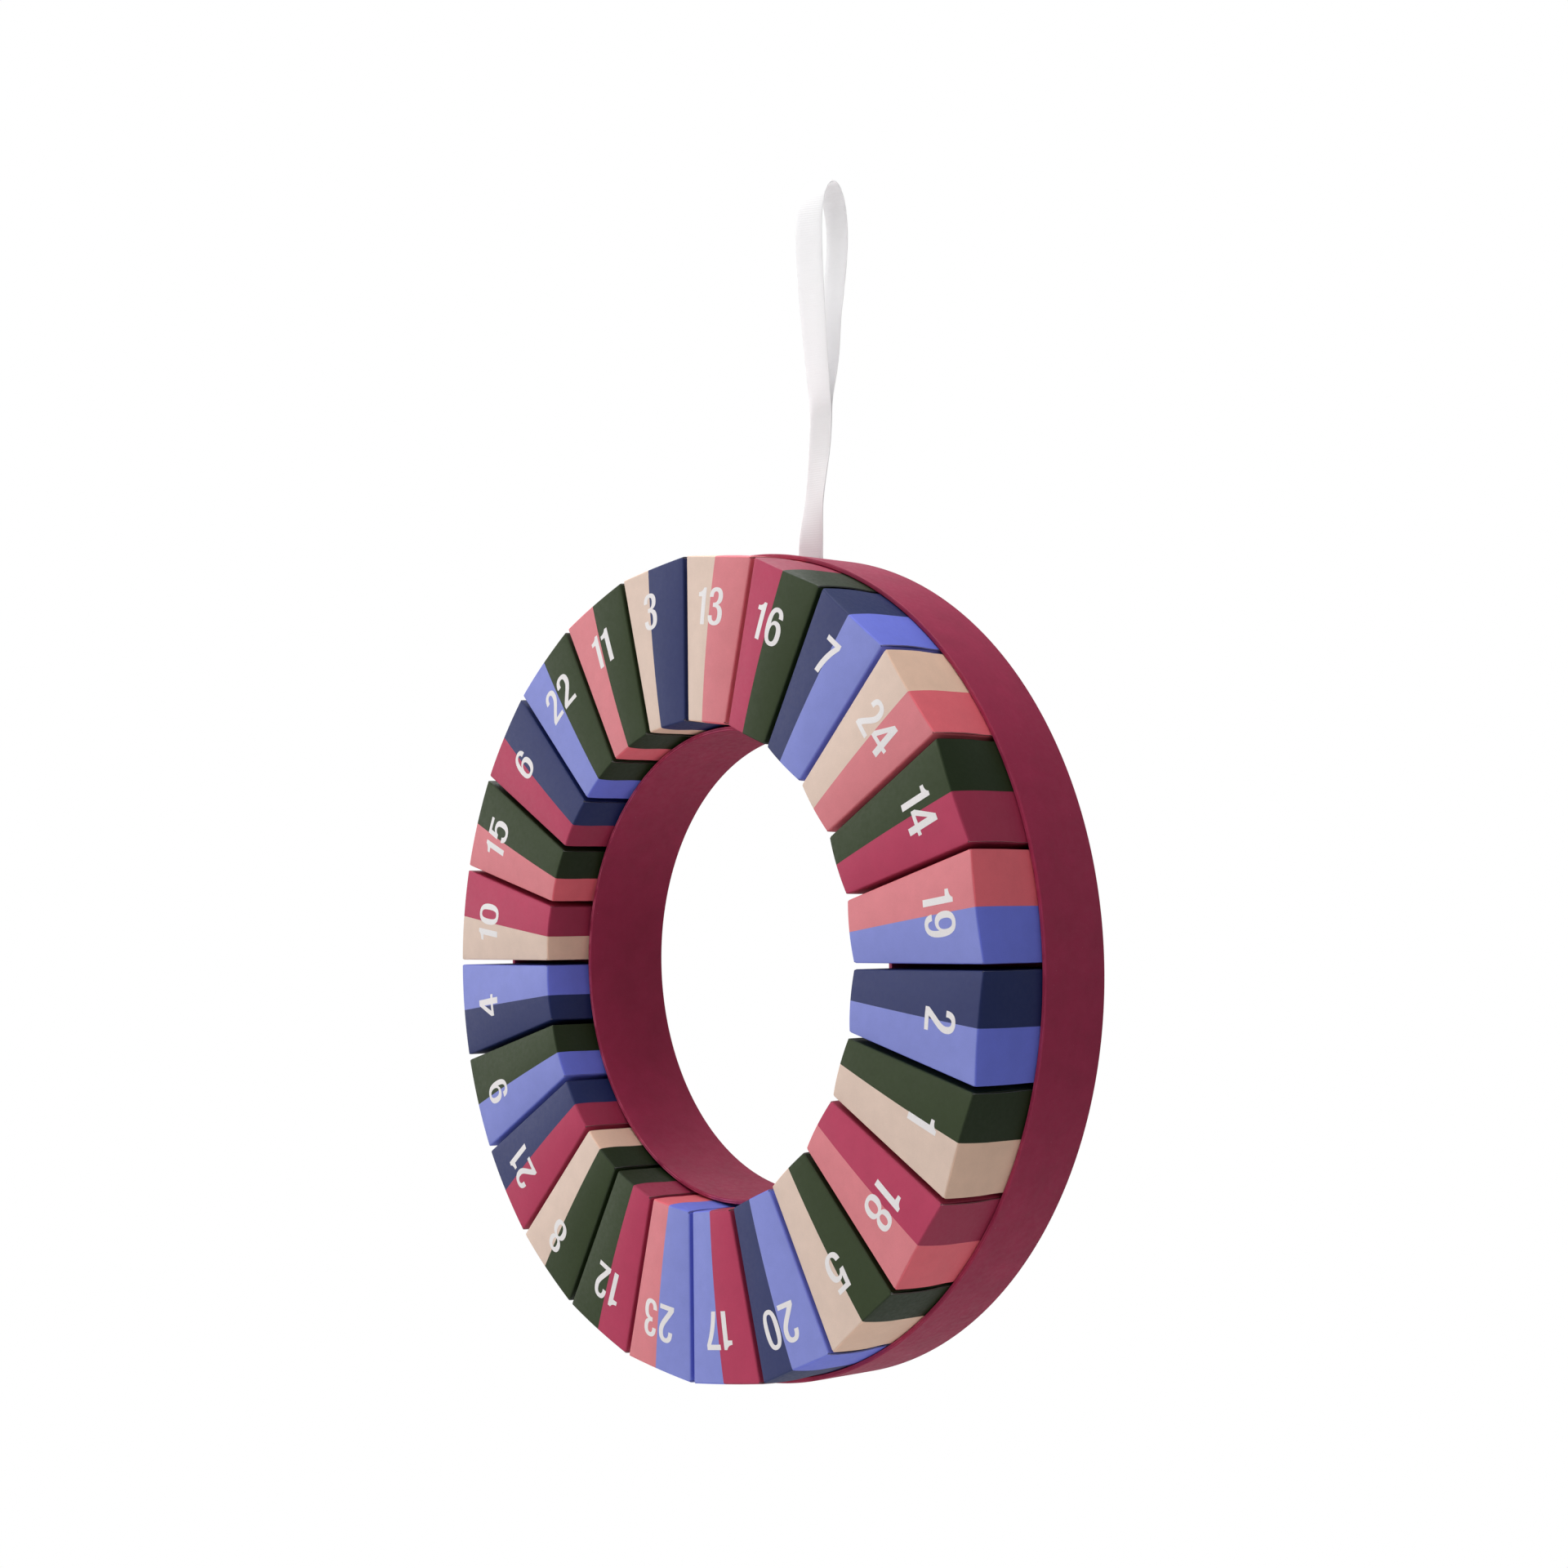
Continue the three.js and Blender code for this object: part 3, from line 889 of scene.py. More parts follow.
def sleeve_rows(angle):
    """The radii of a line along the sleeve, at an angle about its corner: 90 is the side face."""
    side_stop = UNDER_CLOSURE + FLAP_FOLD
    to_side = min(max((angle - EDGE_ANGLE) / (math.pi / 2 - EDGE_ANGLE), 0), 1)
    to_back = min(max(angle / (math.pi / 2) - 1, 0), 1)
    low = blend_between(blend_between(END_FOLD, side_stop, to_side), BACK_FOLD, to_back)
    high = blend_between(blend_between(END_FOLD, side_stop, to_side), 0, to_back)
    return np.linspace(INNER_END + low, OUTER_END - high, ROWS_ALONG + 1)


def side_panel(sheet, side, slot):
    columns = []
    for angle in np.linspace(EDGE_ANGLE, math.pi / 2, ARC_STEPS + 1):
        columns.append((angle, SIDE_CREASE * (1 - math.cos(angle))))
    for share in SIDE_SHARES:
        columns.append((math.pi / 2, blend_between(SIDE_CREASE, CARTON_DEPTH - SIDE_CREASE, share)))
    for angle in np.linspace(math.pi / 2, math.pi, ARC_STEPS + 1)[1:]:
        columns.append((angle, CARTON_DEPTH - SIDE_CREASE * (1 + math.cos(angle))))
    grid = []
    for angle, depth in columns:
        radius = sleeve_rows(angle)
        across = half_width(radius) - SIDE_CREASE * (1 - math.sin(angle))
        if angle == math.pi / 2:
            across = across + side_bulge(depth, radius)
        grid.append(row_of(side * across, depth, radius))
    grid = np.stack(grid, axis=1)
    # Painted shade: the side panel's colour deepens from the front's crease to the side face.
    turned = np.clip([(angle - EDGE_ANGLE) / (math.pi / 2 - EDGE_ANGLE) for angle, _ in columns], 0, 1)
    sheet.add_grid(grid, slot, turned=turned[None, :], flip=side < 0)
    return grid


print("columns round a side panel:", 2 * ARC_STEPS + 1 + len(SIDE_SHARES))

# %% [markdown]
# ### Dust flaps and the whole body
# Past their ends, the side panels fold inwards as dust flaps under the end panels. On the real carton
# they keep the corners shut, and through the thin gaps there they can be seen. They could be loose
# strips, but here they start from the side panel's last row, so nothing opens at the fold.

# %% Carton body
FLAP_LENGTH = 9 * MM
FLAP_TAPER = 0.12
FLAP_STEPS = 3
FLAP_SHARES = (0.1, 0.4, 0.7, 1.0)
END_DEPTHS = [d * MM for d in (1.6, 3, 5, 7.5, 10.5, 14, 18, 22.5, 27.5, 33, 39, 46, 53, 60)]
BACK_FOLD_ANGLES = np.radians((0, 30, 60))


def dust_flap(sheet, side_grid, side, slot, outwards):
    """The side panel's end folds inwards and lies under the end panel."""
    edge_row = side_grid[-1 if outwards > 0 else 0]
    panel = edge_row[ARC_STEPS : ARC_STEPS + len(SIDE_SHARES)]
    middle = CARTON_DEPTH / 2
    rows = []
    for angle in np.radians(np.linspace(0, 90, FLAP_STEPS + 1)):
        row = panel.copy()
        row[:, 0] -= side * FLAP_FOLD * (1 - math.cos(angle))
        row[:, 2] += outwards * FLAP_FOLD * math.sin(angle)
        rows.append(row)
    for share in FLAP_SHARES:
        row = rows[FLAP_STEPS].copy()
        row[:, 0] -= side * FLAP_LENGTH * share
        row[:, 1] = middle + (row[:, 1] - middle) * (1 - FLAP_TAPER * share)
        rows.append(row)
    # The dust flap gets the full painted shade.
    sheet.add_grid(np.stack(rows), slot, turned=1, flip=(side < 0) != (outwards < 0))


def carton_belt(printing):
    """The belt's grid from the back's outer end round to the front's, and its two masks."""
    back, front = [], []
    for radius in sleeve_rows(math.pi)[::-1]:
        across = columns_across(half_width(radius) - SIDE_CREASE, printing.divider(radius))
        back.append(row_of(across, CARTON_DEPTH, radius))
    end = end_panel_rows(printing, INNER_END, -1, inner_bow, END_DEPTHS)
    panel_half, back_half = half_width(INNER_END) - OVERHANG, half_width(INNER_END) - SIDE_CREASE
    for angle in BACK_FOLD_ANGLES:
        edge = blend_between(panel_half, back_half, angle * 2 / math.pi)
        across = columns_across(edge, printing.divider(INNER_END + END_FOLD))
        depth = CARTON_DEPTH - BACK_FOLD * (1 - math.sin(angle))
        end.append(row_of(across, depth, INNER_END + BACK_FOLD * (1 - math.cos(angle))))
    for radius in sleeve_rows(EDGE_ANGLE)[1:]:
        across = columns_across(front_edge(radius), printing.divider(radius))
        front.append(row_of(across, front_depth(across, radius), radius))
    grid = np.stack(back + end[::-1] + front)
    # The crease row carries the painted highlight of the end fold.
    crease = creased(len(back) + len(end) - 1 - CREASE_ROW, len(grid))
    # Painted shade on the inner end's rows, and none on the back and the front.
    turned = np.array([0.0] * len(back) + turned_rows(len(end))[::-1] + [0.0] * len(front))
    return grid, crease, turned[:, None]


PRINT_SLOTS = np.array([0] * HALF_COLUMNS + [1] * (HALF_COLUMNS + 1))


def carton_body(label, printing, materials):
    sheet = SheetMesh()
    grid, crease, turned = carton_belt(printing)
    sheet.add_grid(grid, PRINT_SLOTS, crease=crease, turned=turned)
    for side, slot in ((-1, 0), (1, 1)):
        side_grid = side_panel(sheet, side, slot)
        for outwards in (-1, 1):
            dust_flap(sheet, side_grid, side, slot, outwards)
    return sheet.build(f"box_{label}_body", materials)


print("dust flaps:", FLAP_LENGTH, "m long")

# %% [markdown]
# ### The closure
# The closure is the last panel of the belt. Its tab has tapered sides and two round corners, so that it
# finds its way in behind the back panel. It could stay in the body's mesh, but the real one opens, and
# the construction keeps it apart. So it is a piece of its own, made with the same rows as the inner end.

# %% Closure
TUCK_PLAY = 0.3 * MM
TUCK_SIDE_PLAY = 0.4 * MM
TUCK_LENGTH = 14 * MM
TUCK_TAPER = 1.5 * MM
TUCK_ROUND = 5 * MM
TUCK_STEPS = 3
TUCK_ROUND_ANGLES = np.radians((20, 40, 60, 75, 90))
CLOSURE_DEPTHS = [d * MM for d in (1.6, 3, 5, 8, 11.5, 15.5, 20, 25, 30, 34, 38, 43, 48, 53, 58, 63)]


def tuck_rows(divider):
    """Rows of the tuck tab, from the fold at the closure's back edge to the tab's rounded end."""
    tuck_depth = CARTON_DEPTH - CARD - TUCK_PLAY
    panel_half = half_width(OUTER_END) - OVERHANG
    tab_half = half_width(OUTER_END) - CARD - TUCK_SIDE_PLAY
    rows = []
    for angle in np.radians(np.linspace(0, 90, ARC_STEPS)):
        across = columns_across(blend_between(panel_half, tab_half, angle * 2 / math.pi), divider)
        depth = tuck_depth - BACK_FOLD * (1 - math.sin(angle))
        rows.append(row_of(across, depth, OUTER_END - BACK_FOLD * (1 - math.cos(angle))))
    straight = np.linspace(BACK_FOLD, TUCK_LENGTH - TUCK_ROUND, TUCK_STEPS + 1)[1:]
    rounded = [TUCK_LENGTH - TUCK_ROUND * (1 - math.sin(a)) for a in TUCK_ROUND_ANGLES]
    for down in [*straight, *rounded]:
        past = max(0, down - (TUCK_LENGTH - TUCK_ROUND))
        corner = TUCK_ROUND - math.sqrt(max(TUCK_ROUND**2 - past**2, 0))
        across = columns_across(tab_half - TUCK_TAPER * down / TUCK_LENGTH - corner, divider)
        rows.append(row_of(across, tuck_depth, OUTER_END - down))
    return rows


def carton_closure(label, printing, materials):
    rows = end_panel_rows(printing, OUTER_END, 1, closure_bow, CLOSURE_DEPTHS)
    rows += tuck_rows(printing.divider(OUTER_END - END_FOLD))
    # Painted shade on the closure, from its crease onwards.
    turned = np.array(turned_rows(len(rows)))[:, None]
    sheet = SheetMesh()
    sheet.add_grid(np.stack(rows), PRINT_SLOTS, crease=creased(CREASE_ROW, len(rows)), turned=turned)
    return sheet.build(f"box_{label}_closure", materials)


print("tuck tab:", TUCK_LENGTH, "m long")

# %% [markdown]
# ### The numbers
# The numbers are narrow grotesque figures, 18 mm high. A Text object needs a font file with just these
# shapes, so each outline is written as a drawing would write it, in hundredths of the height: M moves,
# L draws a line and C a curve. A figure's first outline is its outside, and the others are holes.

# %% Figure outlines
FIGURE_HEIGHT = 17.9 * MM
FIGURES = {
    "0": "M0,50 C0,84 10,101.5 31.5,101.5 C53,101.5 63,84 63,50 C63,16 53,-1.5 31.5,-1.5 "
    "C10,-1.5 0,16 0,50 "
    "M18.5,50 C18.5,20 22,11.5 31.5,11.5 C41,11.5 44.5,20 44.5,50 C44.5,80 41,88.5 31.5,88.5 "
    "C22,88.5 18.5,80 18.5,50",
    "1": "M16,0 L34.6,0 L34.6,100 L22.5,100 C19,91 11,87.5 0,87 L0,74.7 L16,74.7",
    "2": "M0,0 L57,0 L57,14 L22.4,14 C30,26 40,35 48,47 C54,56 57,63 57,73 C57,91 47,101.5 29,101.5 "
    "C10.5,101.5 1,90 1,69.5 L17.5,69.5 C17.5,82 21,88 28.5,88 C36,88 39,82 39,73 "
    "C39,65 36,59 30,51 C22,40 12,30 0,12",
    "3": "M2,74 L19,74 C19,84 22,89 29,89 C36,89 39,84.5 39,77 C39,67 35,60 24,60 L19,60 L19,47.5 L24,47.5 "
    "C36,47.5 40,40 40,29 C40,17 36.5,11 29,11 C21.5,11 18.5,16 18.5,26 L0.5,26 C0.5,8 10,-1.5 29,-1.5 "
    "C48,-1.5 58.5,9 58.5,29 C58.5,42 53,51 42,54.5 C51.5,58 57,65 57,77 C57,92 47,101.5 29.5,101.5 "
    "C12,101.5 2,92 2,74",
    "4": "M34.6,0 L54,0 L54,25 L65,25 L65,37.5 L54,37.5 L54,100 L37,100 L0,39.5 L0,25 L34.6,25 "
    "M34.6,37.5 L16.5,37.5 L34.6,70",
    "5": "M6,100 L57,100 L57,86 L20.5,86 L19,67 C23,71 29,73 35,73 C52,73 62,60 62,38 "
    "C62,14 50,-1.5 30,-1.5 C12,-1.5 1,8 0,27 L17.5,27 C18.5,17 22.5,11.5 30,11.5 "
    "C39,11.5 43,20 43,37 C43,52 39,60 30.5,60 C25,60 20.5,56.5 18,48 L2,47.5",
    "6": "M58.5,73 C58,91 48,101.5 32,101.5 C11,101.5 0,84 0,48 C0,16 10,-1.5 31.5,-1.5 "
    "C50,-1.5 61.5,11 61.5,33.5 C61.5,54 52,66.5 36,66.5 C28,66.5 21.5,63 17.5,56.5 "
    "C18,78 22.5,88.5 32,88.5 C38,88.5 41,83.5 41.5,73.5 "
    "M31,54 C39,54 43.5,46.5 43.5,33 C43.5,19 39.5,11 31.5,11 C23,11 18.5,19 18.5,32.5 "
    "C18.5,46 23,54 31,54",
    "7": "M0,100 L59.5,100 L59.5,86 C46,66 31,38 26,0 L7.5,0 C11,33 25,66 39.5,85 L0,85",
    "8": "M30,101.5 C47,101.5 57.5,92 57.5,76 C57.5,65.5 52.5,58 44,54 C54.5,50 60.5,41.5 60.5,28.5 "
    "C60.5,10 49,-1.5 30,-1.5 C11,-1.5 -0.5,10 -0.5,28.5 C-0.5,41.5 5.5,50 16,54 C7.5,58 2.5,65.5 2.5,76 "
    "C2.5,92 13,101.5 30,101.5 "
    "M30,89 C23.5,89 20,83.5 20,74.5 C20,65.5 23.5,60 30,60 C36.5,60 40,65.5 40,74.5 C40,83.5 36.5,89 30,89 "
    "M30,47.5 C22,47.5 18,41 18,29.5 C18,18 22,11 30,11 C38,11 42,18 42,29.5 C42,41 38,47.5 30,47.5",
}
FIGURE_WIDTHS = {
    "0": 63, "1": 34.6, "2": 57, "3": 58.5, "4": 65,
    "5": 62, "6": 61.5, "7": 59.5, "8": 60, "9": 61.5,
}
SPACE_BEFORE = {"0": 6, "1": 5, "2": 8, "3": 5.5, "4": 2, "5": 7, "6": 8, "7": 5, "8": 8, "9": 8}
SPACE_AFTER = {"1": 8, "2": 5.5}
print("figures drawn:", " ".join(FIGURES))

# %% [markdown]
# ### Reading the outlines
# The words of an outline become points, with a few on each curve. The nine is the six, turned round. The
# printed strokes are a little thinner than the drawn ones. Scaling would make the figures smaller
# too, so each point is moved into its stroke instead, along the line that halves its corner.

# %% Outlines as points
DRAWN_HEIGHT = 100
SAME_POINT = 0.01
CURVE_STEPS = 7
STROKE_TRIM = 0.6


def outlines_of(figure):
    """A figure's closed outlines as lists of points. The nine is the six, turned round."""
    if figure == "9":
        return [[(FIGURE_WIDTHS["6"] - x, DRAWN_HEIGHT - y) for x, y in line] for line in outlines_of("6")]
    lines = []
    words = FIGURES[figure].split()
    while words:
        word = words.pop(0)
        point = tuple(float(n) for n in word.lstrip("MLC").split(","))
        if word[0] == "M":
            lines.append([point])
        elif word[0] == "L":
            lines[-1].append(point)
        else:
            bends = [point] + [tuple(float(n) for n in words.pop(0).split(",")) for _ in range(2)]
            corners = np.array([lines[-1][-1], *bends])
            for t in np.linspace(0, 1, CURVE_STEPS + 1)[1:]:
                weights = np.array([(1 - t) ** 3, 3 * t * (1 - t) ** 2, 3 * t * t * (1 - t), t**3])
                lines[-1].append(tuple(weights @ corners))
    return [line[:-1] if math.dist(line[0], line[-1]) < SAME_POINT else line for line in lines]


def trimmed(lines):
    """The outlines with their strokes a little thinner. All lines but the first are holes."""
    thinner = []
    for line in lines:
        points = np.array(line)
        following = np.roll(points, -1, axis=0)
        after = following - points
        after /= np.linalg.norm(after, axis=1, keepdims=True)
        before = np.roll(after, 1, axis=0)
        area = np.sum(points[:, 0] * following[:, 1] - points[:, 1] * following[:, 0])
        inwards = math.copysign(1, area) * (1 if line is lines[0] else -1)
        normal = np.stack([-(before + after)[:, 1], (before + after)[:, 0]], axis=1)
        normal /= 1 + np.sum(before * after, axis=1, keepdims=True)
        thinner.append([tuple(point) for point in points + STROKE_TRIM * inwards * normal])
    return thinner


print("points of an eight:", sum(len(line) for line in trimmed(outlines_of("8"))))

# %% [markdown]
# ### From outlines to flat figures
# A figure has to bend with the crowned card, so it can't be one large face. Its outline is filled with
# triangles and cut along a fine grid, which a few loops do more evenly than a Remesh modifier would.
# The four's hole lies in line with two of its outer edges. Slivers come up there, so points that all
# but meet are welded.

# %% Flat figures
GRID = 2.5 * MM
WELD = 0.01 * MM


def filled(bm, lines):
    """Faces between the outlines of one figure."""
    corners = [bm.verts.new(point) for line in lines for point in line]
    flat = [[Vector((p.x, p.z, 0)) for p in line] for line in lines]
    for triangle in tessellate_polygon(flat):
        bm.faces.new([corners[i] for i in triangle])


def cut_into_grid(bm):
    for axis, normal in ((0, (1, 0, 0)), (2, (0, 0, 1))):
        low = min(v.co[axis] for v in bm.verts)
        high = max(v.co[axis] for v in bm.verts)
        for step in range(math.ceil(low / GRID), math.floor(high / GRID) + 1):
            everything = [*bm.verts, *bm.edges, *bm.faces]
            place = Vector(normal) * step * GRID
            bmesh.ops.bisect_plane(bm, geom=everything, plane_co=place, plane_no=normal)


def flat_number(text):
    """A number as a flat bmesh, centred across, with the tops of its figures at height zero."""
    unit = FIGURE_HEIGHT / DRAWN_HEIGHT
    bm = bmesh.new()
    pen = 0
    for place, figure in enumerate(text):
        if place:
            pen += SPACE_AFTER[text[place - 1]] + SPACE_BEFORE[figure]
        lines = []
        for line in trimmed(outlines_of(figure)):
            lines.append([Vector(((pen + x) * unit, 0, (y - DRAWN_HEIGHT) * unit)) for x, y in line])
        filled(bm, lines)
        pen += FIGURE_WIDTHS[figure]
    bmesh.ops.translate(bm, vec=(-pen * unit / 2, 0, 0), verts=bm.verts)
    cut_into_grid(bm)
    bmesh.ops.remove_doubles(bm, verts=bm.verts, dist=WELD)
    bmesh.ops.dissolve_degenerate(bm, edges=bm.edges, dist=WELD)
    bmesh.ops.recalc_face_normals(bm, faces=bm.faces)
    if sum(f.normal.y for f in bm.faces) > 0:
        bmesh.ops.reverse_faces(bm, faces=bm.faces)
    return bm


print("figures are cut every", GRID, "m")

# %% [markdown]
# ### Laying a number on the card
# A Shrinkwrap modifier could press a number onto its card. Here its points are put there by the same
# formula as the card's own, so the two touch everywhere. Then the number gets the thickness of a layer
# of ink, half of it in the card.

# %% Printed numbers
INK = 0.08 * MM
INK_SHARP = 40


def printed_number(text, label, turn, printing, top):
    """The number, laid on the crowned front so that the dividing line runs through its middle."""
    bm = flat_number(text)
    for vert in bm.verts:
        radius = top + vert.co.z
        across = printing.divider(top - FIGURE_HEIGHT / 2) + vert.co.x
        vert.co = Vector(on_ring(turn, across, front_depth(across, radius), radius))
    mesh = bpy.data.meshes.new(f"box_{label}_number")
    bm.to_mesh(mesh)
    bm.free()
    mesh.materials.append(white_ink)
    piece = bpy.data.objects.new(mesh.name, mesh)
    bpy.context.scene.collection.objects.link(piece)
    thicken(piece, INK, middle=True)
    sharpen(piece, INK_SHARP)
    return piece


print("ink thickness:", INK, "m")

# %% [markdown]
# ### Twenty-four of them
# The list goes clockwise from 12 o'clock. It holds each number, its two colours, and how the print
# sits on the card: the dividing line's shift in millimetres and turn in degrees, and the radius of the
# figures' tops. Random shifts could scatter the prints, but the real ones are seen to differ, so each
# has its own. No two cartons are alike, which keeps the ring from looking stamped out.

# %% The order of the cartons
CARTONS = [
    (13, "beige", "pink", -1.5, 0.8, 180.7),
    (16, "raspberry", "green", -1.3, 0, 178.8),
    (7, "navy", "periwinkle", -1.3, 0, 182.2),
    (24, "beige", "pink", 0.5, 0, 180.6),
    (14, "green", "raspberry", 0.3, 0.8, 183.8),
    (19, "pink", "periwinkle", 0.3, 0, 183.5),
    (2, "navy", "periwinkle", -0.2, 0, 183.0),
    (1, "green", "beige", -1.7, 0, 182.8),
    (18, "raspberry", "pink", -0.9, -0.8, 178.9),
    (5, "green", "beige", -1.9, 0, 179.8),
    (20, "periwinkle", "navy", 0.6, 0.8, 184.5),
    (17, "raspberry", "periwinkle", 0.2, 0.8, 180.3),
    (23, "periwinkle", "pink", 0.9, 0.8, 181.3),
    (12, "raspberry", "green", -1.1, 0, 179.7),
    (8, "green", "beige", 0.4, 0, 183.4),
    (21, "raspberry", "navy", -0.3, 0, 182.7),
    (9, "periwinkle", "green", -1.1, 0, 182.7),
    (4, "navy", "periwinkle", -0.9, 0.8, 179.3),
    (10, "beige", "raspberry", -1.1, 0.8, 178.9),
    (15, "pink", "green", -0.7, 0.8, 182.4),
    (6, "raspberry", "navy", 0.0, 0.8, 178.8),
    (22, "periwinkle", "green", 1.2, 0.8, 179.4),
    (11, "pink", "green", -0.2, 0.8, 179.8),
    (3, "beige", "navy", -2.9, 0.8, 183.5),
]
print("cartons listed:", len(CARTONS))

# %% [markdown]
# ### Folding and placing
# A carton comes out of its own directions into the ring, gets its thickness, and is fastened to its
# body of the construction, together with its number. They could all be one mesh, but the real ones
# come out one by one, and so do these.

# %% Make the cartons
CARD_SHARP = 50


def carton_materials(first, second):
    """Printed faces, bare insides and cut edges, in the order that the thickness looks for."""
    inside = [bare_board, bare_board]
    return [card[first], card[second], *inside, card_edge[first], card_edge[second]]


def turn_into_place(piece, turn):
    """Carton directions become places in the frame."""
    flat = np.array([v.co[:] for v in piece.data.vertices])
    placed = on_ring(turn, flat[:, 0], flat[:, 1], flat[:, 2])
    piece.data.vertices.foreach_set("co", placed.ravel())
    piece.data.update()


for place, (number, first, second, shift, print_turn, top) in enumerate(CARTONS):
    label = f"{number:02d}"
    turn = (2 * place + 1) * HALF_PITCH
    printing = Printing(shift * MM, print_turn)
    materials = carton_materials(first, second)
    body = carton_body(label, printing, materials)
    closure = carton_closure(label, printing, materials)
    for piece in (body, closure):
        turn_into_place(piece, turn)
        thicken(piece, CARD, inside_slots=2, rim_slots=4)
        sharpen(piece, CARD_SHARP)
    figures = printed_number(str(number), label, turn, printing, top * MM)
    place_piece(body, f"box_{label}", f"card_{first}", f"carton_{label}")
    place_piece(closure, f"box_{label}", f"card_{second}", f"flap_{label}")
    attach(figures, f"box_{label}")
print("cartons made:", len(CARTONS), "with", len(body.data.polygons), "faces in one body")

# %% [markdown]
# ## The ribbon
# One strip of grosgrain leaves the tray in two layers, opens into a loop and comes back down. Cloth
# simulation could hang it, but a narrow strap loses its edges there, and under the wreath's weight it
# hardly moves. So its middle line is drawn, with four curves and a half round, where the CAD solid
# has it. The length of that line is what the ribbon is cut to.

# %% Ribbon line
GLUE_TAB = 16 * MM
SPLIT_HEIGHT = 76 * MM
RIBBON_LEAN = 8 * MM
LOOP_WIDTH = 19.4 * MM
LOOP_SHIFT = 10.8 * MM
LOOP_SHOULDER = 168 * MM
RIBBON_RISE = 194.3 * MM
RISE_HANDLES = (0.33, 0.67)
FRONT_HANDLES = (0.12, 0.45)
REAR_HANDLE = 0.27
CURVE_POINTS = 60


def bezier(points):
    """Points along a cubic curve, without its first one."""
    t = np.linspace(0, 1, CURVE_POINTS + 1)[1:, None]
    p = np.array(points)
    return p[0] * (1 - t) ** 3 + 3 * p[1] * t * (1 - t) ** 2 + 3 * p[2] * t * t * (1 - t) + p[3] * t**3


def ribbon_line():
    """The middle line of the strip as (depth, height above the tray's top)."""
    root = BOARD_FRONT - RIBBON_PACK / 2
    layer = (RIBBON_THICKNESS + LAYER_GAP) / 2
    split, centre, half = root + RIBBON_LEAN, root + LOOP_SHIFT, LOOP_WIDTH / 2
    opening = LOOP_SHOULDER - SPLIT_HEIGHT
    low, high = (share * SPLIT_HEIGHT for share in RISE_HANDLES)
    front_low, front_high = (share * opening for share in FRONT_HANDLES)
    rear = REAR_HANDLE * opening
    rise = [(root - layer, 0), (root - layer, low), (split - layer, high), (split - layer, SPLIT_HEIGHT)]
    front_leg = [(split - layer, SPLIT_HEIGHT), (split - layer, SPLIT_HEIGHT + front_low),
                 (centre - half, LOOP_SHOULDER - front_high), (centre - half, LOOP_SHOULDER)]
    turns = np.linspace(math.pi, 0, CURVE_POINTS)[1:-1]
    crest = RIBBON_RISE - LOOP_SHOULDER
    over = [(centre + half * math.cos(a), LOOP_SHOULDER + crest * math.sin(a)) for a in turns]
    rear_leg = [(centre + half, LOOP_SHOULDER), (centre + half, LOOP_SHOULDER - rear),
                (split + layer, SPLIT_HEIGHT + rear), (split + layer, SPLIT_HEIGHT)]
    fall = [(split + layer, SPLIT_HEIGHT), (split + layer, high), (root + layer, low), (root + layer, 0)]
    front_tab = [(root - layer, -GLUE_TAB), (root - layer, 0)]
    rear_tab = [(root + layer, -GLUE_TAB)]
    going_up = [front_tab, bezier(rise), bezier(front_leg)]
    return np.concatenate([*going_up, over, [rear_leg[0]], bezier(rear_leg), bezier(fall), rear_tab])


line = ribbon_line()
lengths = np.concatenate([[0], np.cumsum(np.hypot(*np.diff(line, axis=0).T))])
RIBBON_LENGTH = lengths[-1]
print("ribbon cut:", round(RIBBON_WIDTH, 4), "by", round(RIBBON_LENGTH, 4), "m")

# %% [markdown]
# ### Ribs
# Grosgrain's ribs are fine cords woven in across the strip. A bump could draw them, but it leaves the
# ribbon's edges straight. So the strip is built as closed rings across the ribbon, four to a rib, thick
# in the rib's middle and thin between two ribs. The rear leg swells back a little above the split.

# %% Ribbed strip
RIB = 1.22 * MM
RINGS_PER_RIB = 4
RIB_DEPTH = 0.22
REAR_SWELL = 1.8 * MM
SWELL_FROM, SWELL_OVER = 73 * MM, 57 * MM
ACROSS_SHARES = (-1, -0.97, -0.6, -0.2, 0.2, 0.6, 0.97, 1)
EDGE_FULLNESS = 0.45


def between_heights(height, low, over):
    """A soft step from 0 to 1 that starts at a height."""
    return smoothstep((height - low) / over)


def strip_path():
    """Even steps along the strip: its depth, its height, and how far it has come to the rear leg."""
    ribs = round(RIBBON_LENGTH / RIB)
    steps = np.linspace(0, RIBBON_LENGTH, ribs * RINGS_PER_RIB + 1)
    depth, height = (np.interp(steps, lengths, line[:, i]) for i in (0, 1))
    loop = steps[height > LOOP_SHOULDER]
    to_rear = smoothstep((steps - loop[0]) / (loop[-1] - loop[0]))
    swell = np.sin(math.pi * np.clip((height - SWELL_FROM) / SWELL_OVER, 0, 1)) ** 2
    return depth + REAR_SWELL * to_rear * swell, height, to_rear


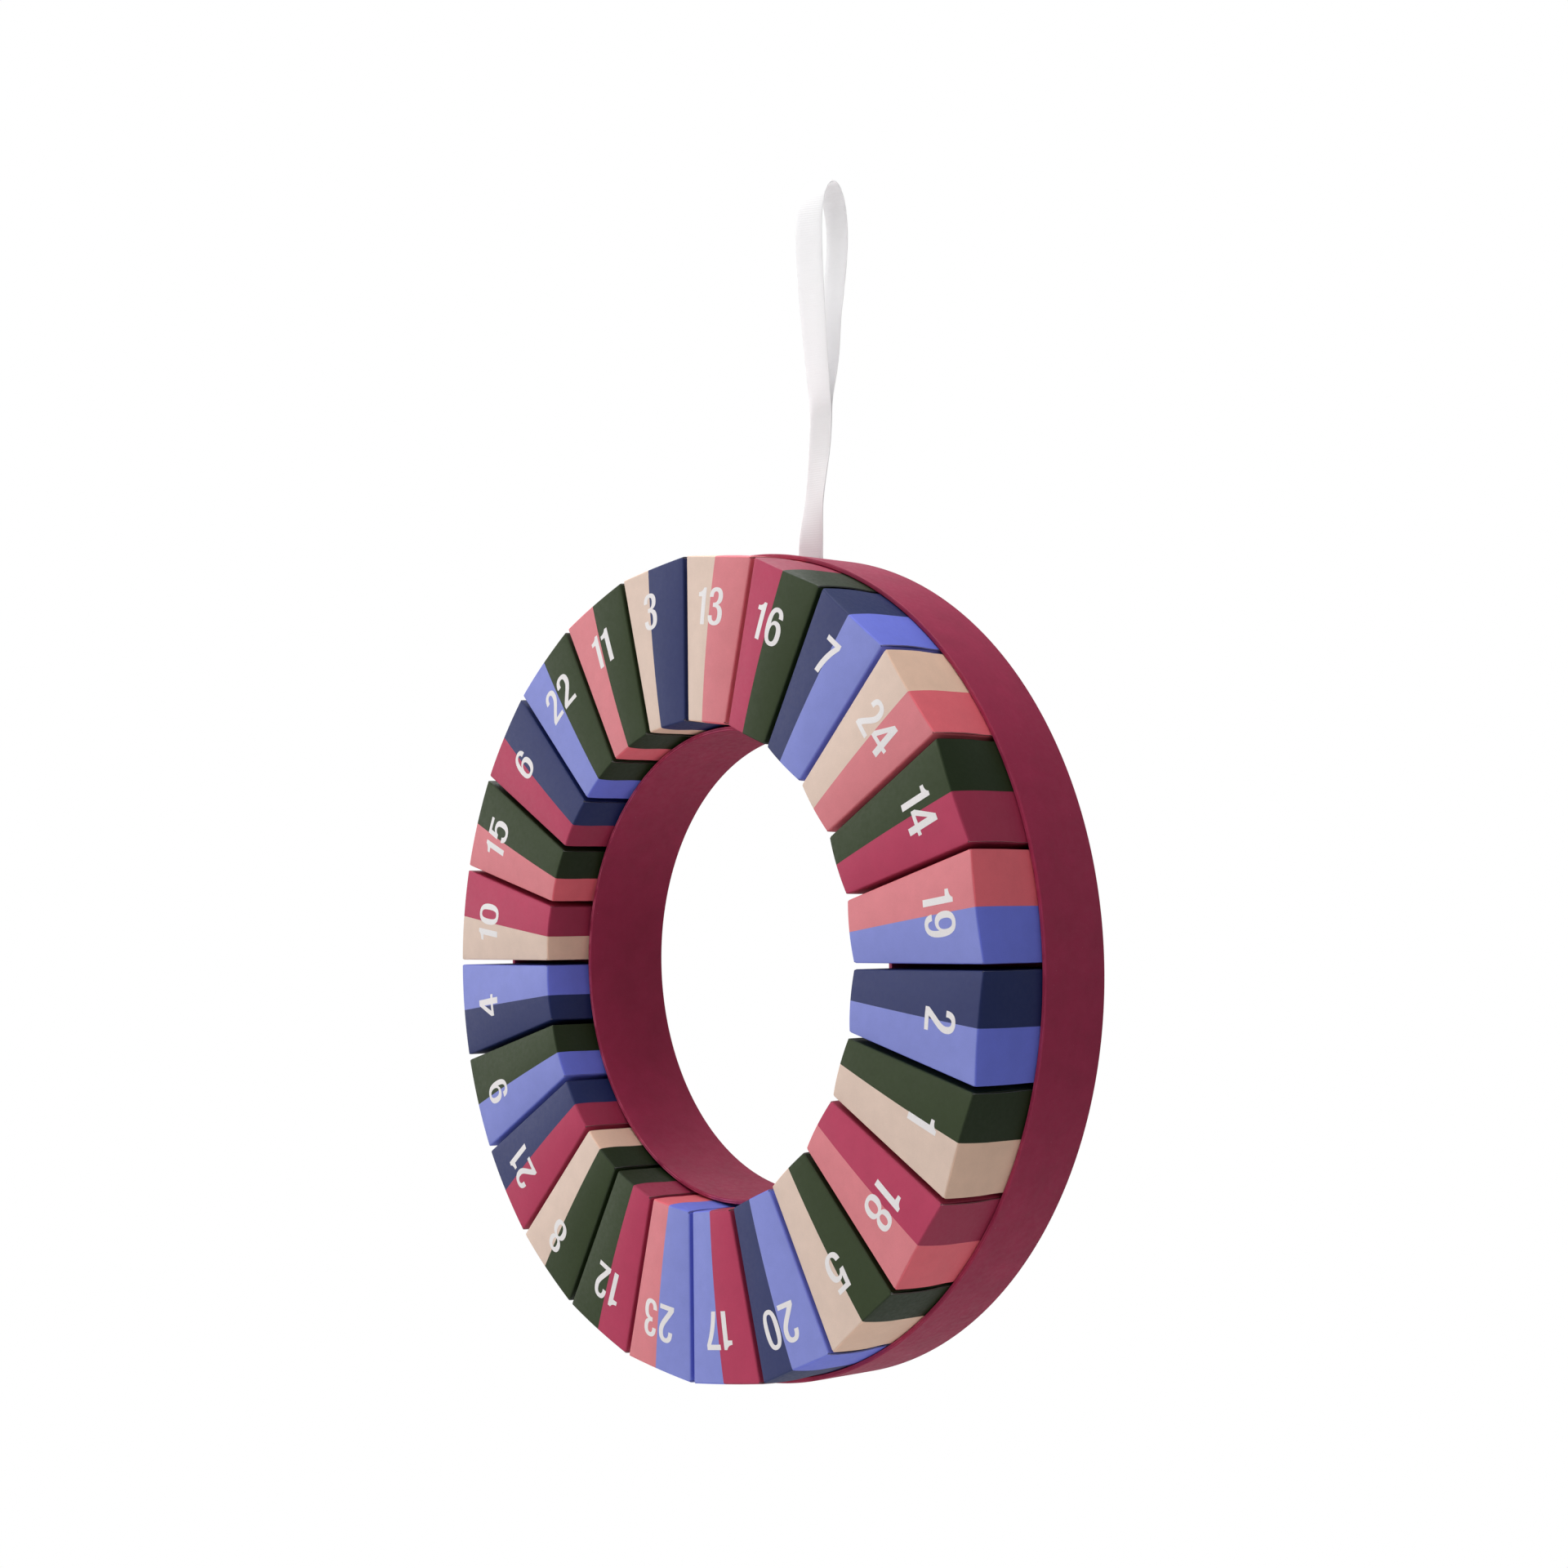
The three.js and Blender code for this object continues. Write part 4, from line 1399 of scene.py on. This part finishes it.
def ribbed_rings(depth, height):
    """Closed rings across the strip, as across, depth and height."""
    along = np.gradient(np.stack([depth, height], axis=-1), axis=0)
    along /= np.linalg.norm(along, axis=1, keepdims=True)
    away = np.stack([-along[:, 1], along[:, 0]], axis=-1)
    ridge = np.abs(np.sin(math.pi * np.arange(len(depth)) / RINGS_PER_RIB))
    thick = RIBBON_THICKNESS / 2 * (1 - RIB_DEPTH * (1 - ridge))
    across = np.array(ACROSS_SHARES) * (RIBBON_WIDTH / 2)
    fullness = np.where(np.abs(ACROSS_SHARES) == 1, EDGE_FULLNESS, 1)
    halves = []
    for side in (1, -1):
        offset = side * thick[:, None] * fullness
        y = depth[:, None] + away[:, :1] * offset
        z = height[:, None] + away[:, 1:] * offset
        halves.append(np.stack(np.broadcast_arrays(across[::side], y, z), axis=-1))
    return np.concatenate(halves, axis=1)


print("ribs along the strip:", round(RIBBON_LENGTH / RIB))

# %% [markdown]
# ### Twist
# No ribbon hangs quite straight. Above the tray the two layers are pressed together and kinked, with
# the rear one a little aside. Where they part, each leg turns about its own middle line. The ribs run
# a little askew, and the fold at the top is higher on the left. A Simple Deform modifier twists
# evenly, which looks wound up, so here every angle is blended by height. Each change is given by the
# height above the tray at which it starts, and the height that it takes.

# %% Twisted strip
KINK_TWIST, REST_TWIST, FRONT_TWIST, REAR_TWIST = np.radians((-12, -5, 6.5, -5.5))
LEG_SLANT, TOP_SLANT = np.tan(np.radians((5, 8.3)))
PRESSED = 0.35
REAR_ASIDE = 0.5 * MM
KINK_IN = (6 * MM, 26 * MM)
KINK_OUT = (34 * MM, 30 * MM)
PRESSED_OUT = (60 * MM, 20 * MM)
ASIDE_OUT = (70 * MM, 40 * MM)
OPENING_OUT = (66 * MM, 96 * MM)
TOP_TILT = (150 * MM, 40 * MM)


def twist_at(height, opened, to_rear):
    """The twist at a height: a kink above the tray, then each leg's own."""
    kinked = between_heights(height, *KINK_IN)
    eased = between_heights(height, *KINK_OUT)
    doubled = kinked * blend_between(KINK_TWIST, REST_TWIST, eased)
    return blend_between(doubled, blend_between(FRONT_TWIST, REAR_TWIST, to_rear), opened)


def layers_middle(height):
    """The depth of the line between the two layers, at a height."""
    rising = (line[:, 1] >= 0) & (np.arange(len(line)) < CURVE_POINTS + 2)
    return np.interp(height, line[rising, 1], line[rising, 0] + (RIBBON_THICKNESS + LAYER_GAP) / 2)


def ribbon_strip():
    depth, height, to_rear = strip_path()
    grid = ribbed_rings(depth, height)
    between = layers_middle(height)
    opened = between_heights(height, *OPENING_OUT)
    pivot = blend_between(between, depth, opened)[:, None]
    pressed = (between - depth) * (1 - between_heights(height, *PRESSED_OUT))
    aside = to_rear * (1 - between_heights(height, *ASIDE_OUT))
    grid[..., 1] += PRESSED * pressed[:, None]
    grid[..., 0] -= REAR_ASIDE * aside[:, None]
    turn = twist_at(height, opened, to_rear)[:, None]
    slant = blend_between(LEG_SLANT, TOP_SLANT, between_heights(height, *TOP_TILT))[:, None]
    x, y = grid[..., 0].copy(), grid[..., 1] - pivot
    grid[..., 0] = x * np.cos(turn) - y * np.sin(turn)
    grid[..., 1] = pivot + x * np.sin(turn) + y * np.cos(turn)
    grid[..., 2] -= x * slant
    return grid + np.array([RIBBON_X, FRONT_Y, RING_Z + TRAY_RADIUS])


ribbon_grid = ribbon_strip()
print("rings across the ribbon:", len(ribbon_grid))

# %% [markdown]
# ### One closed ribbon
# The rings become one skin, and small faces close each cut end, where the strip is glued to the board.
# A free strip without thickness would be simpler, but it would vanish edge on.

# %% Make the ribbon
RIBBON_SHARP = 60

ribbon_sheet = SheetMesh()
ribbon_sheet.add_grid(ribbon_grid, closed=True)
across_count = ribbon_grid.shape[1] // 2
for end in (0, -1):
    ring = ribbon_grid[end]
    ribbon_sheet.add_grid(np.stack([ring[:across_count], ring[:across_count - 1:-1]]), flip=end == 0)
ribbon = ribbon_sheet.build("hanging_loop", [ribbon_cloth])
close_up(ribbon, RIBBON_SHARP)
place_piece(ribbon, "tray", "ribbon", "hanging_ribbon")

# %% [markdown]
# ## The studio
# The wreath hangs over a pale floor that keeps its shadow. A floor lit until it is white would need more
# light, and the card would wash out. So the floor stays as it is for the light, and only to the
# camera part of it is a white glow.

# %% Floor
FLOOR_DROP = 1.0
FLOOR_RADIUS = 3.0
FLOOR_GLOW = 0.6
FLOOR_CLOUDS = 0.4
FLOOR_TONE = (0.86, 0.9)
FLOOR_ROUGHNESS = 0.9
FLOOR_SIDES = 96
WHITE = (1, 1, 1, 1)


def studio_floor():
    material, tree, shader = new_surface("studio_floor")
    tone = varied(tree, FLOOR_CLOUDS, *FLOOR_TONE, detail=2.0)
    base = add_node(tree, "ShaderNodeCombineColor", {"Red": tone, "Green": tone, "Blue": tone})
    tree.links.new(base.outputs[0], shader.inputs["Base Color"])
    shader.inputs["Roughness"].default_value = FLOOR_ROUGHNESS
    seen = add_node(tree, "ShaderNodeLightPath").outputs["Is Camera Ray"]
    glow = add_node(tree, "ShaderNodeEmission", {"Color": WHITE, "Strength": 1.0})
    inputs = {0: multiplied(tree, seen, FLOOR_GLOW), 1: shader.outputs[0], 2: glow.outputs[0]}
    mixed = add_node(tree, "ShaderNodeMixShader", inputs)
    tree.links.new(mixed.outputs[0], tree.nodes["Material Output"].inputs["Surface"])
    bm = bmesh.new()
    bmesh.ops.create_circle(bm, cap_ends=True, segments=FLOOR_SIDES, radius=FLOOR_RADIUS)
    mesh = bpy.data.meshes.new("studio_floor")
    bm.to_mesh(mesh)
    bm.free()
    mesh.materials.append(material)
    floor = bpy.data.objects.new("studio_floor", mesh)
    floor.location = (RING_X, FRONT_Y, cad_bounds[0].z - FLOOR_DROP)
    bpy.context.scene.collection.objects.link(floor)


studio_floor()
print("floor:", FLOOR_DROP, "m under the tray")

# %% [markdown]
# ### White all round
# The background of the photograph is white. A white world as strong as that would light the wreath
# from all sides and flatten it, so the world is white to the camera and almost dark to everything else.

# %% World
AMBIENT = 0.08


def white_world():
    world = bpy.data.worlds.new("studio")
    bpy.context.scene.world = world
    world.use_nodes = True
    tree = world.node_tree
    tree.nodes.clear()
    seen = add_node(tree, "ShaderNodeLightPath").outputs["Is Camera Ray"]
    backdrop = add_node(tree, "ShaderNodeBackground", {"Color": WHITE, "Strength": 1.0})
    ambient = add_node(tree, "ShaderNodeBackground", {"Color": WHITE, "Strength": AMBIENT})
    mixed = add_node(tree, "ShaderNodeMixShader", {0: seen, 1: ambient.outputs[0], 2: backdrop.outputs[0]})
    add_node(tree, "ShaderNodeOutputWorld", {"Surface": mixed.outputs[0]})


white_world()
print("light from all round:", AMBIENT)

# %% [markdown]
# ### Lamps
# The light on the object comes from large soft lamps. The strong ones are above and to the left, and
# the right side stays darker. Sun lamps would give hard shadows between the cartons, so each lamp is a
# softbox: a square of light with an azimuth and an elevation in degrees, a distance and a size in
# metres, and a power in watts, aimed at the middle of the ring.

# %% Lamps
SOFTBOXES = {
    "front": (-15, 15, 2.2, 1.8, 7.4),
    "front_left": (-42, 20, 2.2, 1.6, 6),
    "left": (-68, 10, 2.0, 1.8, 16),
    "top": (20, 75, 1.8, 1.6, 29),
    "top_left": (-110, 55, 2.0, 1.4, 27),
    "right": (80, 10, 2.2, 1.4, 3.2),
    "back_right": (130, 8, 2.2, 1.4, 3.5),
    "back": (180, 20, 2.2, 1.6, 6),
    "low": (20, -18, 2.0, 0.9, 9),
}


def softbox(name, azimuth, elevation, distance, size, power):
    lamp = bpy.data.lights.new(name, "AREA")
    lamp.shape = "SQUARE"
    lamp.size = size
    lamp.energy = power
    a, e = math.radians(azimuth), math.radians(elevation)
    away = Vector((math.sin(a) * math.cos(e), -math.cos(a) * math.cos(e), math.sin(e)))
    holder = bpy.data.objects.new(f"softbox_{name}", lamp)
    holder.location = Vector((RING_X, FRONT_Y, RING_Z)) + away * distance
    holder.rotation_mode = "QUATERNION"
    holder.rotation_quaternion = away.to_track_quat("Z", "Y")
    bpy.context.scene.collection.objects.link(holder)


for name, values in SOFTBOXES.items():
    softbox(name, *values)
bpy.context.scene.view_settings.view_transform = "Standard"
print("softboxes:", ", ".join(SOFTBOXES))
